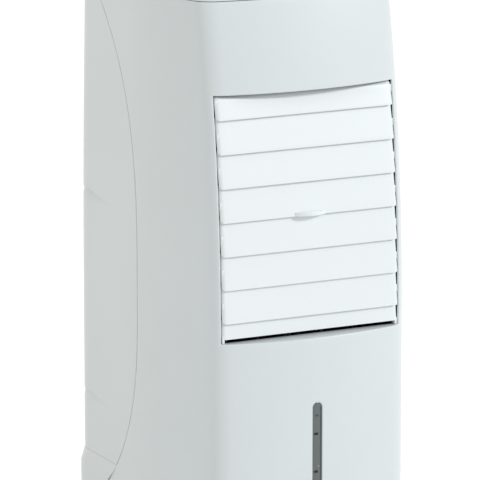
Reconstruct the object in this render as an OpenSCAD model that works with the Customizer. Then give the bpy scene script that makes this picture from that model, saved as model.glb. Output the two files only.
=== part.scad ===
// Tower evaporative cooler: a free-standing cabinet on four castors.
// Axes: X across the front, Y from front (-) to rear (+), Z up from the floor.

/* [Cabinet] */
// Width across the widest part of the sides
body_w = 300; // [260:1:380]
// Depth from the front face to the rear of the base
body_d = 356; // [300:1:440]
// Height of the front and rear shells above the base
shell_h = 668; // [640:1:820]
// Height of the top cover
cap_h = 84; // [76:1:104]
// Wall thickness of the mouldings
wall = 3; // [2.4:0.1:4]
// Corner radius between the front face and the sides
corner_r = 32; // [22:1:36]
// Corner radius at the rear
rear_r = 40; // [30:1:46]
// How far the rear shell stands in from the base at the back
rear_step = 8; // [4:1:14]
// Radius of the arc that leans the front face back
lean_r = 1713; // [1400:1:3000]

/* [Base and castors] */
// Clearance under the base skirt
skirt_z = 28; // [20:1:36]
// Height of the base skirt
base_h = 32; // [28:1:48]
// Radius of a castor wheel
wheel_r = 17; // [14:0.5:19]
// Trail between the swivel axis and the wheel axle
castor_trail = 11; // [6:0.5:13]
// Radius of the castor stem
stem_r = 4; // [3:0.5:5]

/* [Louvre] */
// Height of the louvre opening
open_h = 283.5; // [230:0.5:340]
// Height of the bottom edge of the opening above the floor
open_z = 340; // [325:1:360]
// Margin from the side of the cabinet to the opening
open_margin = 36; // [34:0.5:50]
// Thickness of a slat
slat_t = 2.4; // [1.8:0.1:3]
// Tilt of a slat from the plane of the opening
slat_tilt = 7; // [5:0.5:12]
// Radius of the slat pivot pins
pivot_r = 2; // [1.5:0.1:2.5]
// Radius of the link pins
link_pin_r = 1.4; // [1.2:0.1:1.8]
// Depth of a vertical vane
vane_d = 26; // [20:1:28]

/* [Air and water] */
// Radius of the fan shaft
shaft_r = 4; // [3:0.5:6]
// Thickness of the cooling pad
pad_t = 40; // [30:1:50]
// Height of the water tank
tank_h = 180; // [150:1:190]
// Outer radius of the pump hose
hose_r = 5; // [4:0.5:6]

/* [Controls] */
// Radius of a push button
button_r = 8; // [6:0.5:10]
// Travel of a push button
button_travel = 1.2; // [0.8:0.1:1.5]
// Angle of the control face from horizontal
panel_tilt = 31; // [24:1:36]

/* [Hidden] */
// Clearances
seam_gap = 0.8;
rest_gap = 0.3;
run_gap = 0.05;
loose_gap = 0.3;
// Number of repeated pieces
slat_n = 8;
vane_n = 5;
button_n = 5;
// Levels
base_top = skirt_z + base_h;
shell_top = base_top + shell_h;
cap_top = shell_top + cap_h;
open_top = open_z + open_h;
heel_top = base_top + 92;
// Plan outline
front_y = -body_d / 2;
rear_y = body_d / 2;
shell_rear_y = rear_y - rear_step;
base_proud = 1.5;
base_half = body_w / 2 + base_proud;
floor_t = 4;
floor_in = wall / 2 + rest_gap;
nose_a = 15;
corner_a = 72;
corner_inset = 46.5;
lean_z = base_top + 290;
side_taper = 4.5;
rear_taper = 6;
taper_h = 450;
// Seam between the front and rear shells, as seen from the side
seam_mid_z = base_top + 305;
seam_mid_y = front_y + 166.5;
seam_top_reach = 101.5;
seam_low_reach = 59.5;
// Louvre
open_half = body_w / 2 - open_margin;
slat_side_gap = 2.2;
slat_half = open_half - slat_side_gap;
slat_top_margin = 28;
slat_top_gap = 3;
slat_low_margin = 23.5;
slat_pitch = (open_h - slat_top_margin - slat_low_margin) / (slat_n - 2);
slat_chord = slat_pitch + 6.7;
slat_proud = 3;
slat_corner_r = 4;
pivot_back = 15;
pivot_up = slat_pitch - 19.25;
pin_reach = 2.6;
crank_r = 28;
crank_a = 30;
crank = crank_r * [cos(crank_a), sin(crank_a)];
link_half = 3.2;
lug_t = 2.8;
lug_in = 0.4;
arm_in = 0.3;
lug_x = slat_half - lug_in - lug_t;
cheek_t = 3;
cheek_set = 8;
frame_back = front_y + 103.5;
frame_low = open_z - 18;
frame_high = open_top + 22;
sill_t = 3;
vane_y = frame_back - 3 - 3.5 - vane_d / 2;
vane_t = 2;
vane_crank = vane_d / 2 - 3;
vane_pitch = (2 * open_half - 65) / (vane_n - 1);
// Rear windows
window_half = body_w / 2 - 32;
window_low = base_top + 178;
window_high = shell_top - 12;
window_bar = 14;
window_h = (window_high - window_low - window_bar) / 2;
window_mid = window_low + window_h;
ledge = 6;
grille_t = 5.7;
scoop_z = [window_low - 14, window_mid - 1];
scoop_l = 66;
scoop_w = 6;
scoop_t = 2;
grille_face = shell_rear_y - rear_lean(window_high) - 0.2;
// Air path
pad_back = grille_face - 14;
pad_front = pad_back - pad_t - 4;
scroll_t = 2.5;
scroll_room = 23;
fan_r = (pad_front - frame_back - 42.5) / 2;
fan_y = pad_front - fan_r - scroll_room - scroll_t - 6.5;
fan_z = open_z + 115;
fan_half = body_w / 2 - 74;
blower_half = fan_half + 2.5;
motor_r = 38;
motor_l = 42;
// Water
tank_z = base_top + rest_gap;
tank_half = body_w / 2 - 24;
tank_front = front_y + 46;
tank_back = pad_back + 1;
tank_t = 2.5;
tank_r = 22;
gauge_w = 12;
gauge_low = base_top + 50;
gauge_high = base_top + 204;
pump_x = -tank_half + 34;
pump_y = pad_front - 30;
pump_w = 40;
tray_z = pad_frame_high() + 1;
drain_x = 60;
drain_z = tank_z + 17;
gland_x = -95;
gland_z = base_top + 32;
screw_r = 1.6;
// Controls
panel_w = 196;
panel_l = 74;
panel_t = 2;
panel_y = front_y + 96;
panel_z = shell_top + 53;
button_x0 = -14;
button_pitch = 23;
button_y = -8;
board_top = -18;
board_boss_x = [-29, 66];
board_boss_y = 14;
switch_top = -10;
lid_half = 44;
lid_front = shell_rear_y - 72;
lid_back = shell_rear_y - 28;
lid_t = 3;
// Castor places
castor_x = body_w / 2 - 50;
castor_front_y = front_y + 74;
castor_rear_y = rear_y - 50;
castor_top = skirt_z + 10;

$fn = 48;

// ---- Shape of the cabinet ----

function pad_frame_high() = window_high - 4;
function pad_frame_low() = tank_z + tank_h + 1;

// Setback of the front face, narrowing of the sides and setback of the rear at a height
function lean(z) = z > lean_z ? lean_r - sqrt(lean_r * lean_r - pow(z - lean_z, 2)) : 0;
function lean_angle(z) = z > lean_z ? asin((z - lean_z) / lean_r) : 0;
function narrow(z) = side_taper * pow(max(0, z - lean_z) / taper_h, 2);
function rear_lean(z) = rear_taper * pow(max(0, z - lean_z) / taper_h, 2);
function normal(a) = [sin(a), -cos(a)];

// Half outline from the front centre to the rear: arcs that meet in line with each other
function half_outline(hw, yr, inset) =
    let (
        nose_r = (hw - corner_inset) / sin(nose_a),
        p1 = [hw - corner_inset, front_y + nose_r * (1 - cos(nose_a))],
        c1 = p1 - corner_r * normal(nose_a),
        p2 = c1 + corner_r * normal(corner_a),
        side_r = (hw - p2.x) / (1 - sin(corner_a)),
        c2 = p2 - side_r * normal(corner_a),
        c3 = [hw - rear_r, yr - rear_r]
    )
    concat(
        [for (i = [0:3]) [0, front_y + nose_r] + (nose_r - inset) * normal(nose_a * i / 4)],
        [for (i = [0:5]) c1 + (corner_r - inset) * normal(nose_a + (corner_a - nose_a) * i / 6)],
        [for (i = [0:4]) c2 + (side_r - inset) * normal(corner_a + (90 - corner_a) * i / 4)],
        [for (i = [0:8]) c3 + (rear_r - inset) * normal(90 + 90 * i / 8)]
    );

// One closed ring of the outline at a height, leaning and narrowing with the cabinet
function ring(z, hw, yr, inset) =
    let (
        h = half_outline(hw, yr, inset),
        n = len(h),
        sx = 1 - narrow(z) / hw,
        sf = 1 + lean(z) / front_y,
        sr = 1 - rear_lean(z) / yr,
        r = [for (p = h) [p.x * sx, p.y * (p.y < 0 ? sf : sr), z]]
    )
    concat(r, [for (i = [n - 1:-1:1]) [-r[i].x, r[i].y, z]]);

// Solid between stacked rings
module ring_solid(rings) {
    n = len(rings[0]);
    m = len(rings);
    side = [for (k = [0:m - 2]) for (i = [0:n - 1])
        let (j = (i + 1) % n, a = k * n + i, b = k * n + j)
        each [[a, a + n, b + n], [a, b + n, b]]];
    polyhedron(
        points = [for (r = rings) each r],
        faces = concat([[for (i = [0:n - 1]) i]], side, [[for (i = [n - 1:-1:0]) (m - 1) * n + i]])
    );
}

function levels(z0, z1) =
    let (n = max(1, round((z1 - max(z0, lean_z)) / 47)))
    z1 <= lean_z ? [z0, z1] :
    concat(z0 < lean_z ? [z0] : [], [for (i = [0:n]) max(z0, lean_z) + (z1 - max(z0, lean_z)) * i / n]);

module body_solid(z0, z1, hw, yr, inset) {
    ring_solid([for (z = levels(z0, z1)) ring(z, hw, yr, inset)]);
}

module body_tube(z0, z1, hw, yr, t) {
    difference() {
        body_solid(z0, z1, hw, yr, 0);
        body_solid(z0 - 2, z1 + 2, hw, yr, t);
    }
}

// Y of the side seam at a height
function seam_y(z) = z > seam_mid_z
    ? seam_mid_y + seam_top_reach * pow((z - seam_mid_z) / 333, 3.3)
    : seam_mid_y + seam_low_reach * pow((seam_mid_z - z) / 213, 3);

// Everything behind the side seam, moved back by shift
module behind_seam(shift) {
    n = 40;
    z0 = base_top - 4;
    z1 = shell_top + 4;
    back = rear_y + 30;
    line = [for (i = [0:n]) let (z = z0 + (z1 - z0) * i / n) [min(back - 1, seam_y(z) + shift), z]];
    rotate([90, 0, 90])
        translate([0, 0, -body_w])
            linear_extrude(2 * body_w)
                polygon(concat(line, [[back, z1], [back, z0]]));
}

// Plan Y of the front face where the edge of the opening lies, at a height
function chord_y(z) =
    let (
        nose_r = (body_w / 2 - corner_inset) / sin(nose_a),
        p1 = [body_w / 2 - corner_inset, front_y + nose_r * (1 - cos(nose_a))],
        c1 = p1 - corner_r * normal(nose_a),
        dx = open_half - c1.x
    )
    (c1.y - sqrt(corner_r * corner_r - dx * dx)) * (1 + lean(z) / front_y);

module box(lo, hi) {
    translate(lo) cube(hi - lo);
}

module rod_x(x0, x1, y, z, r) {
    translate([x0, y, z]) rotate([0, 90, 0]) cylinder(h = x1 - x0, r = r);
}

module rod_y(x, y0, y1, z, r) {
    translate([x, y1, z]) rotate([90, 0, 0]) cylinder(h = y1 - y0, r = r);
}

module rod_z(x, y, z0, z1, r) {
    translate([x, y, z0]) cylinder(h = z1 - z0, r = r);
}

// A slab standing in XZ with round ends, between two Y planes
module stadium_y(w, z0, z1, y0, y1) {
    rod_y(0, y0, y1, z0 + w / 2, w / 2);
    rod_y(0, y0, y1, z1 - w / 2, w / 2);
    box([-w / 2, y0, z0 + w / 2], [w / 2, y1, z1 - w / 2]);
}

// ---- Base ----

function castor_at(i) = [(i % 2 == 0 ? -1 : 1) * castor_x, i < 2 ? castor_front_y : castor_rear_y];

module base() {
    color("whitesmoke")
    difference() {
        union() {
            body_solid(base_top - floor_t, base_top, base_half, rear_y, floor_in);
            for (i = [0:3])
                rod_z(castor_at(i).x, castor_at(i).y, castor_top + 2, base_top - 1, stem_r + 5);
        }
        for (i = [0:3])
            rod_z(castor_at(i).x, castor_at(i).y, skirt_z, base_top - 2, stem_r + run_gap);
    }
}

// Skirt round the floor, which sits in a rebate at its top edge
module base_skirt() {
    color("whitesmoke")
    difference() {
        body_tube(skirt_z, base_top, base_half, rear_y, wall);
        body_solid(base_top - floor_t - rest_gap, base_top + 1, base_half, rear_y, floor_in - rest_gap);
    }
}

// Heel behind the seam, with a lip under the rear shell and holes for the gland and the drain
module base_heel() {
    heel_z = base_top + rest_gap;
    color("whitesmoke")
    difference() {
        union() {
            intersection() {
                body_tube(heel_z, heel_top, base_half, rear_y, wall);
                behind_seam(seam_gap);
            }
            intersection() {
                body_tube(heel_top - 3, heel_top, base_half, rear_y, wall + 7);
                behind_seam(seam_gap);
            }
            rod_y(gland_x, rear_y - 14, rear_y - 1, gland_z, 12);
        }
        rod_y(gland_x, rear_y - 20, rear_y + 5, gland_z, 8.2);
        rod_y(drain_x, rear_y - 20, rear_y + 5, drain_z, 13);
    }
}

// ---- Shells ----

module front_shell() {
    hw = body_w / 2;
    z0 = base_top + rest_gap;
    z1 = shell_top - rest_gap;
    color("white")
    difference() {
        union() {
            body_tube(z0, z1, hw, rear_y, wall);
            intersection() {
                body_solid(open_z - sill_t, open_z, hw, rear_y, 1);
                box([-open_half - 4, front_y - 1, open_z - 9],
                    [open_half + 4, chord_y(open_z) + cheek_set - rest_gap, open_z + 1]);
            }
        }
        box([-open_half, front_y - 20, open_z], [open_half, front_y + 70, open_top]);
        stadium_y(gauge_w, gauge_low, gauge_high, front_y - 10, front_y + 20);
        behind_seam(0);
    }
}

module rear_shell() {
    hw = body_w / 2;
    z0 = heel_top + rest_gap;
    z1 = shell_top - rest_gap;
    y = shell_rear_y;
    color("white")
    difference() {
        union() {
            intersection() {
                body_tube(z0, z1, hw, y, wall);
                behind_seam(seam_gap);
            }
            box([-window_half - ledge, grille_face - 12, window_low - ledge],
                [window_half + ledge, grille_face - 1.5, window_high + ledge]);
        }
        for (z = [window_low, window_mid + window_bar]) {
            box([-window_half, grille_face - grille_t - rest_gap, z], [window_half, y + 5, z + window_h]);
            box([-window_half + ledge, y - 30, z + ledge], [window_half - ledge, y, z + window_h - ledge]);
        }
        for (s = [-1, 1], z = scoop_z)
            translate([s * (hw - narrow(z) + scoop_w / sqrt(2)), y - rear_r - scoop_l, z])
                rotate([0, 0, s * atan(scoop_t / scoop_l)])
                    rotate([-90, 45, 0])
                        translate([-scoop_w / 2, -scoop_w / 2, 0])
                            cube([scoop_w, scoop_w, scoop_l + rear_r]);
        screw_holes(screw_r + run_gap);
    }
}

function screw_places() = [
    for (x = [-80, 0, 80]) [x, window_mid + window_bar / 2],
    for (x = [-80, 80]) [x, window_low - 34]
];

module screw_holes(r) {
    for (p = screw_places())
        rod_y(p[0], shell_rear_y - 20, shell_rear_y + 5, p[1], r);
}

module cabinet_screws() {
    color("silver")
    for (p = screw_places()) {
        face = shell_rear_y - rear_lean(p[1]) + rest_gap;
        rod_y(p[0], face - 11, face + 0.2, p[1], screw_r);
        difference() {
            rod_y(p[0], face, face + 2, p[1], screw_r + 2);
            box([p[0] - 2, face + 1.2, p[1] - 0.4], [p[0] + 2, face + 3, p[1] + 0.4]);
            box([p[0] - 0.4, face + 1.2, p[1] - 2], [p[0] + 0.4, face + 3, p[1] + 2]);
        }
    }
}

// ---- Top cover and controls ----

cap_z0 = shell_top + rest_gap;
cap_round = 24;

function cap_rings(inset, z0, drop) = concat(
    [ring(z0, body_w / 2, shell_rear_y, inset)],
    [for (i = [0:5])
        let (a = 90 * i / 5)
        ring(cap_top - cap_round + cap_round * sin(a) - drop, body_w / 2, shell_rear_y,
            inset + cap_round * (1 - cos(a)))]
);

// Moves its children onto the sloping control face, with +Z standing out of the face
module on_panel() {
    translate([0, panel_y, panel_z]) rotate([panel_tilt, 0, 0]) children();
}

module top_cover() {
    color("white")
    difference() {
        union() {
            difference() {
                ring_solid(cap_rings(0, cap_z0, 0));
                ring_solid(cap_rings(wall, cap_z0 - 1, wall));
            }
            intersection() {
                ring_solid(cap_rings(1, cap_z0 + 4, 0));
                on_panel() box([-body_w, -body_d, -wall - 4], [body_w, body_d, 1]);
            }
            box([-lid_half - 5, lid_front - 3, cap_z0 + 4], [lid_half + 5, lid_back + 8, cap_top - 1]);
        }
        on_panel() box([-body_w, -body_d, 0], [body_w, 100, 60]);
        on_panel() box([-panel_w / 2 - 0.3, -panel_l / 2 - 0.3, -panel_t - 0.2],
            [panel_w / 2 + 0.3, panel_l / 2 + 0.3, 1]);
        on_panel() box([-panel_w / 2 + 6, -panel_l / 2 + 6, -30], [panel_w / 2 - 6, panel_l / 2 - 6, 1]);
        box([-lid_half - 0.6, lid_front - 0.6, cap_top - lid_t - 0.4],
            [lid_half + 0.6, lid_back + 5.6, cap_top + 5]);
        box([-lid_half + 3, lid_front + 2, cap_z0 - 5], [lid_half - 3, lid_back - 4, cap_top + 5]);
        rod_x(-lid_half - 3, lid_half + 3, lid_back + 2, cap_top - 3.2, 1.5 + run_gap);
        box([-lid_half - 0.6, lid_back - 2, cap_top - 7], [lid_half + 0.6, lid_back + 5.6, cap_top + 5]);
    }
}

module control_panel() {
    color("dimgray")
    on_panel()
    difference() {
        union() {
            box([-panel_w / 2, -panel_l / 2, -panel_t], [panel_w / 2, panel_l / 2, 0]);
            for (x = board_boss_x)
                rod_z(x, board_boss_y, board_top + rest_gap, -panel_t + 0.5, 3);
        }
        for (i = [0:button_n - 1])
            rod_z(button_x0 + i * button_pitch, button_y, -5, 2, button_r + loose_gap);
        box([-84, -18, -5], [-36, 8, 2]);
    }
}

module display_window() {
    color([0.1, 0.12, 0.14])
    on_panel() box([-83.7, -17.7, -panel_t - 1], [-36.3, 7.7, -0.3]);
}

module control_board() {
    color("darkgreen")
    on_panel() {
        difference() {
            box([-86, -26, board_top - 1.6], [90, 22, board_top]);
            for (x = board_boss_x)
                rod_z(x, board_boss_y, board_top - 5, board_top + 5, 1.6);
        }
        for (i = [0:button_n - 1])
            box([button_x0 + i * button_pitch - 3, button_y - 3, board_top - 0.1],
                [button_x0 + i * button_pitch + 3, button_y + 3, switch_top]);
        box([-80, -14, board_top - 0.1], [-40, 4, -panel_t - 1 - rest_gap]);
    }
}

module button(i) {
    color("silver")
    on_panel() {
        x = button_x0 + i * button_pitch;
        rod_z(x, button_y, -panel_t - 3, 1.6, button_r);
        rod_z(x, button_y, -panel_t - 3, -panel_t - rest_gap, button_r + 1.5);
        rod_z(x, button_y, switch_top + button_travel + 0.2, -panel_t - 2.9, 2.5);
    }
}

module filler_lid() {
    color("white")
    difference() {
        union() {
            box([-lid_half, lid_front, cap_top - lid_t], [lid_half, lid_back + 2, cap_top]);
            rod_x(-lid_half, lid_half, lid_back + 2, cap_top - 3.2, 3.2);
            rod_x(-lid_half - 2.6, lid_half + 2.6, lid_back + 2, cap_top - 3.2, 1.5);
        }
        rod_x(-14, 14, lid_front - 1, cap_top + 3, 5);
    }
}

// ---- Louvre ----

// Height of the bottom edge of a slat, counted from the top
function slat_low(i) = open_top - slat_top_margin - slat_pitch * i;

// Pivot of a slat: [y, z]
function pivot(i) =
    let (z = slat_low(i), a = lean_angle(z))
    [chord_y(z) - slat_proud + pivot_back * cos(a) + pivot_up * sin(a),
     z + pivot_up * cos(a) - pivot_back * sin(a)];

// Blade outline in its own plane: full chord, or less for the lowest and the highest one
module blade_2d(low, high) {
    r = slat_corner_r;
    union() {
        translate([-slat_half, low + r]) square([2 * slat_half, high - low - 2 * r]);
        translate([-slat_half + r, low]) square([2 * (slat_half - r), high - low]);
        for (s = [-1, 1], v = [low + r, high - r])
            translate([s * (slat_half - r), v]) circle(r = r);
    }
}

module slat(i) {
    p = pivot(i);
    a = lean_angle(slat_low(i));
    low = i == slat_n - 1 ? slat_pitch / 2 + 1 : 0;
    high = i == 0 ? slat_top_margin - slat_top_gap : slat_chord;
    color("white")
    union() {
        translate([0, p[0], p[1]])
            rotate([-a, 0, 0]) {
                translate([0, -pivot_back, -pivot_up])
                    rotate([90 - slat_tilt, 0, 0])
                        translate([0, 0, -slat_t])
                            linear_extrude(slat_t) blade_2d(low, high);
                for (s = [-1, 1])
                    translate([s > 0 ? lug_x : -lug_x - lug_t, 0, 0]) {
                        rod_x(0, lug_t, 0, 0, pivot_r + 2.4);
                        box([0, -pivot_back + pivot_up * tan(slat_tilt) + 1, -pivot_r - 2],
                            [lug_t, 0, pivot_r + 2]);
                    }
            }
        for (s = [-1, 1])
            rod_x(s > 0 ? slat_half - 1 : -open_half - pin_reach,
                s > 0 ? open_half + pin_reach : -slat_half + 1, p[0], p[1], pivot_r);
        rod_x(lug_x, lug_x + lug_t, p[0] + crank.x, p[1] + crank.y, link_pin_r + 1.6);
        translate([lug_x, p[0], p[1]])
            rotate([crank_a, 0, 0]) box([arm_in, -1, -2], [lug_t - arm_in, crank_r, 2]);
        rod_x(lug_x - 5, lug_x + 0.5, p[0] + crank.x, p[1] + crank.y, link_pin_r);
        if (i == 3) slat_tab(p, a);
    }
}

// Crescent finger lip on the bottom edge of one slat
module slat_tab(p, a) {
    tab_r = 28;
    tab_out = 8;
    translate([0, p[0], p[1]])
        rotate([-a, 0, 0])
            translate([0, -pivot_back, -pivot_up])
                intersection() {
                    translate([0, tab_r - tab_out, -0.2]) cylinder(h = 4.6, r = tab_r, $fn = 96);
                    box([-20, -20, -1], [20, 1.6, 6]);
                }
}

// Bar that ties the slats together
module slat_link() {
    half = link_half;
    x0 = lug_x - 4;
    pts = [for (i = [0:slat_n - 1]) pivot(i) + crank];
    first = pts[0] + [0.8, half + 1];
    last = pts[slat_n - 1] - [0, half + 1];
    right = [for (p = pts) p + [half, 0]];
    left = [for (i = [slat_n - 1:-1:0]) pts[i] - [half, 0]];
    color("gainsboro")
    difference() {
        translate([x0, 0, 0])
            rotate([90, 0, 90])
                linear_extrude(3.2)
                    polygon(concat([first + [half, 0]], right, [last + [half, 0], last - [half, 0]],
                        left, [first - [half, 0]]));
        for (p = pts)
            rod_x(x0 - 1, x0 + 5, p[0], p[1], link_pin_r + run_gap);
    }
}

function vane_x(i) = (i - (vane_n - 1) / 2) * vane_pitch;

module vane(i) {
    x = vane_x(i);
    z0 = frame_low + 3.6 + 1.9;
    z1 = frame_high - 3 - 1.5;
    color("gainsboro")
    union() {
        difference() {
            box([x - vane_t / 2, vane_y - vane_d / 2, z0], [x + vane_t / 2, vane_y + vane_d / 2, z1]);
            box([x - 5, vane_y + 4, z0 - 1], [x + 5, vane_y + vane_d, z0 + 8]);
        }
        rod_z(x, vane_y, z0 - (i == 2 ? 13 : 5), z0 + 12, pivot_r);
        rod_z(x, vane_y, z1 - 12, z1 + 4.2, pivot_r);
        rod_z(x, vane_y + vane_crank, z0 + 1, z0 + 12, link_pin_r);
    }
}

module vane_link() {
    z0 = frame_low + 3.6 + 1.9;
    color("gainsboro")
    difference() {
        box([vane_x(0) - 6, vane_y + vane_crank - 3.2, z0 + 2.4],
            [vane_x(vane_n - 1) + 6, vane_y + vane_crank + 3.2, z0 + 5.4]);
        for (i = [0:vane_n - 1])
            rod_z(vane_x(i), vane_y + vane_crank, z0, z0 + 10, link_pin_r + run_gap);
    }
}

module louvre_frame() {
    n = 8;
    x0 = open_half + 0.3;
    edge = [for (i = [0:n])
        let (z = frame_low + (frame_high - frame_low) * i / n) [chord_y(z) + cheek_set, z]];
    color("dimgray")
    difference() {
        union() {
            for (s = [-1, 1])
                translate([s > 0 ? x0 : -x0 - cheek_t, 0, 0])
                    rotate([90, 0, 90])
                        linear_extrude(cheek_t)
                            polygon(concat(edge, [[frame_back, frame_high], [frame_back, frame_low]]));
            box([-x0 - 1, chord_y(frame_high) + cheek_set, frame_high - 3],
                [x0 + 1, frame_back, frame_high]);
            box([-x0 - 1, chord_y(frame_low) + cheek_set, frame_low],
                [x0 + 1, frame_back, frame_low + 3.6]);
            box([-x0 - 1, frame_back - 3, frame_low], [x0 + 1, frame_back, frame_high]);
        }
        box([-fan_half, frame_back - 10, open_z + 5], [fan_half, frame_back + 5, frame_high - 13]);
        for (i = [0:slat_n - 1])
            rod_x(-x0 - 10, x0 + 10, pivot(i)[0], pivot(i)[1], pivot_r + run_gap);
        for (i = [0:vane_n - 1])
            rod_z(vane_x(i), vane_y, frame_low - 5, frame_high + 5, pivot_r + run_gap);
    }
}

module swing_motor() {
    top = frame_low - rest_gap;
    color("silver")
    difference() {
        union() {
            rod_z(0, vane_y, top - 14, top, 14);
            box([-22, vane_y - 4, top - 2], [22, vane_y + 4, top]);
        }
        rod_z(0, vane_y, top - 11, top + 1, pivot_r + run_gap);
    }
}

// ---- Blower ----

// Radius of the scroll at an angle measured from the front, going down and round
function scroll(a) = fan_r + 8 + 24 * (a - 30) / 240;

function scroll_outline(t) = concat(
    [for (i = [0:24]) let (a = 30 + 10 * i, r = scroll(a) + t) [fan_y - r * cos(a), fan_z - r * sin(a)]],
    [[frame_back + rest_gap, frame_high - 10 + t], [frame_back + rest_gap, open_z + 5 - t]]
);

module scroll_2d(t) {
    polygon(scroll_outline(t));
}

module across(x0, x1) {
    translate([x0, 0, 0]) rotate([90, 0, 90]) linear_extrude(x1 - x0) children();
}

module blower_housing() {
    color("lightgray")
    difference() {
        across(-blower_half, blower_half) scroll_2d(scroll_t);
        across(-blower_half + scroll_t, blower_half - scroll_t) scroll_2d(0);
        box([-blower_half + scroll_t, frame_back - 1, open_z + 5],
            [blower_half - scroll_t, frame_back + 2, frame_high - 10]);
        rod_x(-blower_half - 5, -blower_half + 5, fan_y, fan_z, fan_r * 0.86);
        rod_x(blower_half - 5, blower_half + 5, fan_y, fan_z, shaft_r + 6);
    }
}

module fan_wheel() {
    blade_n = 30;
    blade_l = fan_r * 0.2;
    back = fan_half - 5;
    front = -fan_half + 3;
    color("dimgray")
    union() {
        difference() {
            union() {
                rod_x(back - 2, back, fan_y, fan_z, fan_r);
                rod_x(back - 16, back, fan_y, fan_z, shaft_r + 7);
            }
            rod_x(back - 20, back + 5, fan_y, fan_z, shaft_r + run_gap);
        }
        difference() {
            rod_x(front, front + 4, fan_y, fan_z, fan_r);
            rod_x(front - 1, front + 5, fan_y, fan_z, fan_r - blade_l);
        }
        for (i = [0:blade_n - 1])
            translate([0, fan_y, fan_z])
                rotate([360 * i / blade_n, 0, 0])
                    translate([front + 1, 0, fan_r - blade_l + 1])
                        rotate([28, 0, 0])
                            cube([back - front - 2, 1.4, blade_l - 2.4]);
    }
}

module fan_shaft() {
    color("silver")
    rod_x(fan_half - 24, blower_half + motor_l - 8, fan_y, fan_z, shaft_r);
}

module fan_motor() {
    x0 = blower_half + rest_gap;
    color("slategray")
    difference() {
        union() {
            rod_x(x0 + 3, x0 + motor_l, fan_y, fan_z, motor_r);
            rod_x(x0, x0 + 3.5, fan_y, fan_z, motor_r + 6);
            rod_x(x0 + motor_l - 1, x0 + motor_l + 5, fan_y, fan_z, 12);
        }
        rod_x(x0 - 2, x0 + motor_l - 5, fan_y, fan_z, shaft_r + run_gap);
    }
}

// ---- Water ----

module rounded_slab(hx, y0, y1, z0, z1, r) {
    for (s = [-1, 1]) {
        rod_z(s * (hx - r), y0 + r, z0, z1, r);
        rod_z(s * (hx - r), y1 - r, z0, z1, r);
    }
    box([-hx + r, y0, z0], [hx - r, y1, z1]);
    box([-hx, y0 + r, z0], [hx, y1 - r, z1]);
}

module water_tank() {
    t = tank_t;
    color([0.85, 0.9, 0.92])
    difference() {
        union() {
            rounded_slab(tank_half, tank_front, tank_back, tank_z, tank_z + tank_h, tank_r);
            rod_y(drain_x, tank_back - 2, rear_y - 9, drain_z, 10);
            rod_y(0, tank_front - 3, tank_front + 2, gauge_low + 4, 6);
        }
        rounded_slab(tank_half - t, tank_front + t, tank_back - t, tank_z + t,
            tank_z + tank_h + 5, tank_r - t);
        rod_y(drain_x, tank_back - 20, rear_y, drain_z, 7);
        rod_y(0, tank_front - 20, tank_front + 20, gauge_low + 4, 3);
    }
}

module sight_tube() {
    y = front_y + 15;
    color([0.7, 0.75, 0.78])
    difference() {
        union() {
            rod_z(0, y, gauge_low - 4, gauge_high, 5.6);
            rod_y(0, y, tank_front - 3 - rest_gap, gauge_low + 4, 5);
        }
        rod_z(0, y, gauge_low - 2, gauge_high + 1, 4.2);
        rod_y(0, y, tank_front, gauge_low + 4, 3);
    }
}

module gauge_window() {
    color([0.35, 0.37, 0.37])
    union() {
        stadium_y(gauge_w - 0.4, gauge_low + 0.2, gauge_high - 0.2, front_y + 0.6, front_y + wall + 1);
        stadium_y(gauge_w + 7, gauge_low - 4, gauge_high + 4, front_y + wall + 0.4, front_y + wall + 2.4);
        for (k = [0:2])
            box([-3.4, front_y + 0.3, gauge_high - 36 - 46 * k - 0.9],
                [0.4, front_y + 1, gauge_high - 36 - 46 * k + 0.9]);
    }
}

module pump() {
    x0 = pump_x - pump_w / 2;
    y0 = pump_y - pump_w / 2;
    z0 = tank_z + tank_t + rest_gap;
    color([0.15, 0.16, 0.18])
    difference() {
        union() {
            box([x0, y0, z0], [x0 + pump_w, y0 + pump_w, z0 + 38]);
            rod_z(pump_x, pump_y, z0 + 37, z0 + 52, hose_r - 1.6);
        }
        rod_z(pump_x, pump_y, z0 + 4, z0 + 20, 13);
        rod_z(pump_x, pump_y, z0 + 19, z0 + 60, 1.8);
        rod_y(pump_x, y0 - 5, pump_y, z0 + 12, 5);
        rod_z(pump_x, pump_y, z0 + 2, z0 + 5, 1.5 + run_gap);
    }
}

module pump_impeller() {
    z0 = tank_z + tank_t + rest_gap;
    color("white")
    union() {
        rod_z(pump_x, pump_y, z0 + 2.2, z0 + 18, 1.5);
        rod_z(pump_x, pump_y, z0 + 6, z0 + 8, 10);
        for (a = [0:60:300])
            translate([pump_x, pump_y, z0 + 7])
                rotate([0, 0, a]) translate([0, -0.6, 0]) cube([10, 1.2, 10]);
    }
}

// Route of the pump hose, from the pump nozzle up to the tray
tray_half = window_half - 8;
tray_port_y = pad_front + 22;
hose_x = -body_w / 2 + 18;
hose_top = tray_z + 6.5;
hose_z0 = tank_z + tank_t + rest_gap + 38.5;
hose_end = -tray_half - 2 * rest_gap;
hose_route = [
    [pump_x, pump_y, hose_z0], [pump_x, pump_y, hose_z0 + 30], [pump_x - 2, pump_y + 1, hose_z0 + 70],
    [pump_x - 10, pump_y + 8, hose_z0 + 108], [pump_x - 22, pump_y + 16, hose_z0 + 140],
    [hose_x + 6, pump_y + 21, hose_z0 + 168], [hose_x + 1, pump_y + 32, hose_z0 + 200],
    [hose_x, tray_port_y - 6, hose_z0 + 238], [hose_x, tray_port_y, hose_z0 + 280],
    [hose_x, tray_port_y, fan_z], [hose_x, tray_port_y, (fan_z + hose_top) / 2],
    [hose_x, tray_port_y, hose_top - 50], [hose_x, tray_port_y, hose_top - 16],
    [hose_x + 4.5, tray_port_y, hose_top - 4.5], [hose_end - 7, tray_port_y, hose_top],
    [hose_end, tray_port_y, hose_top]
];

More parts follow.
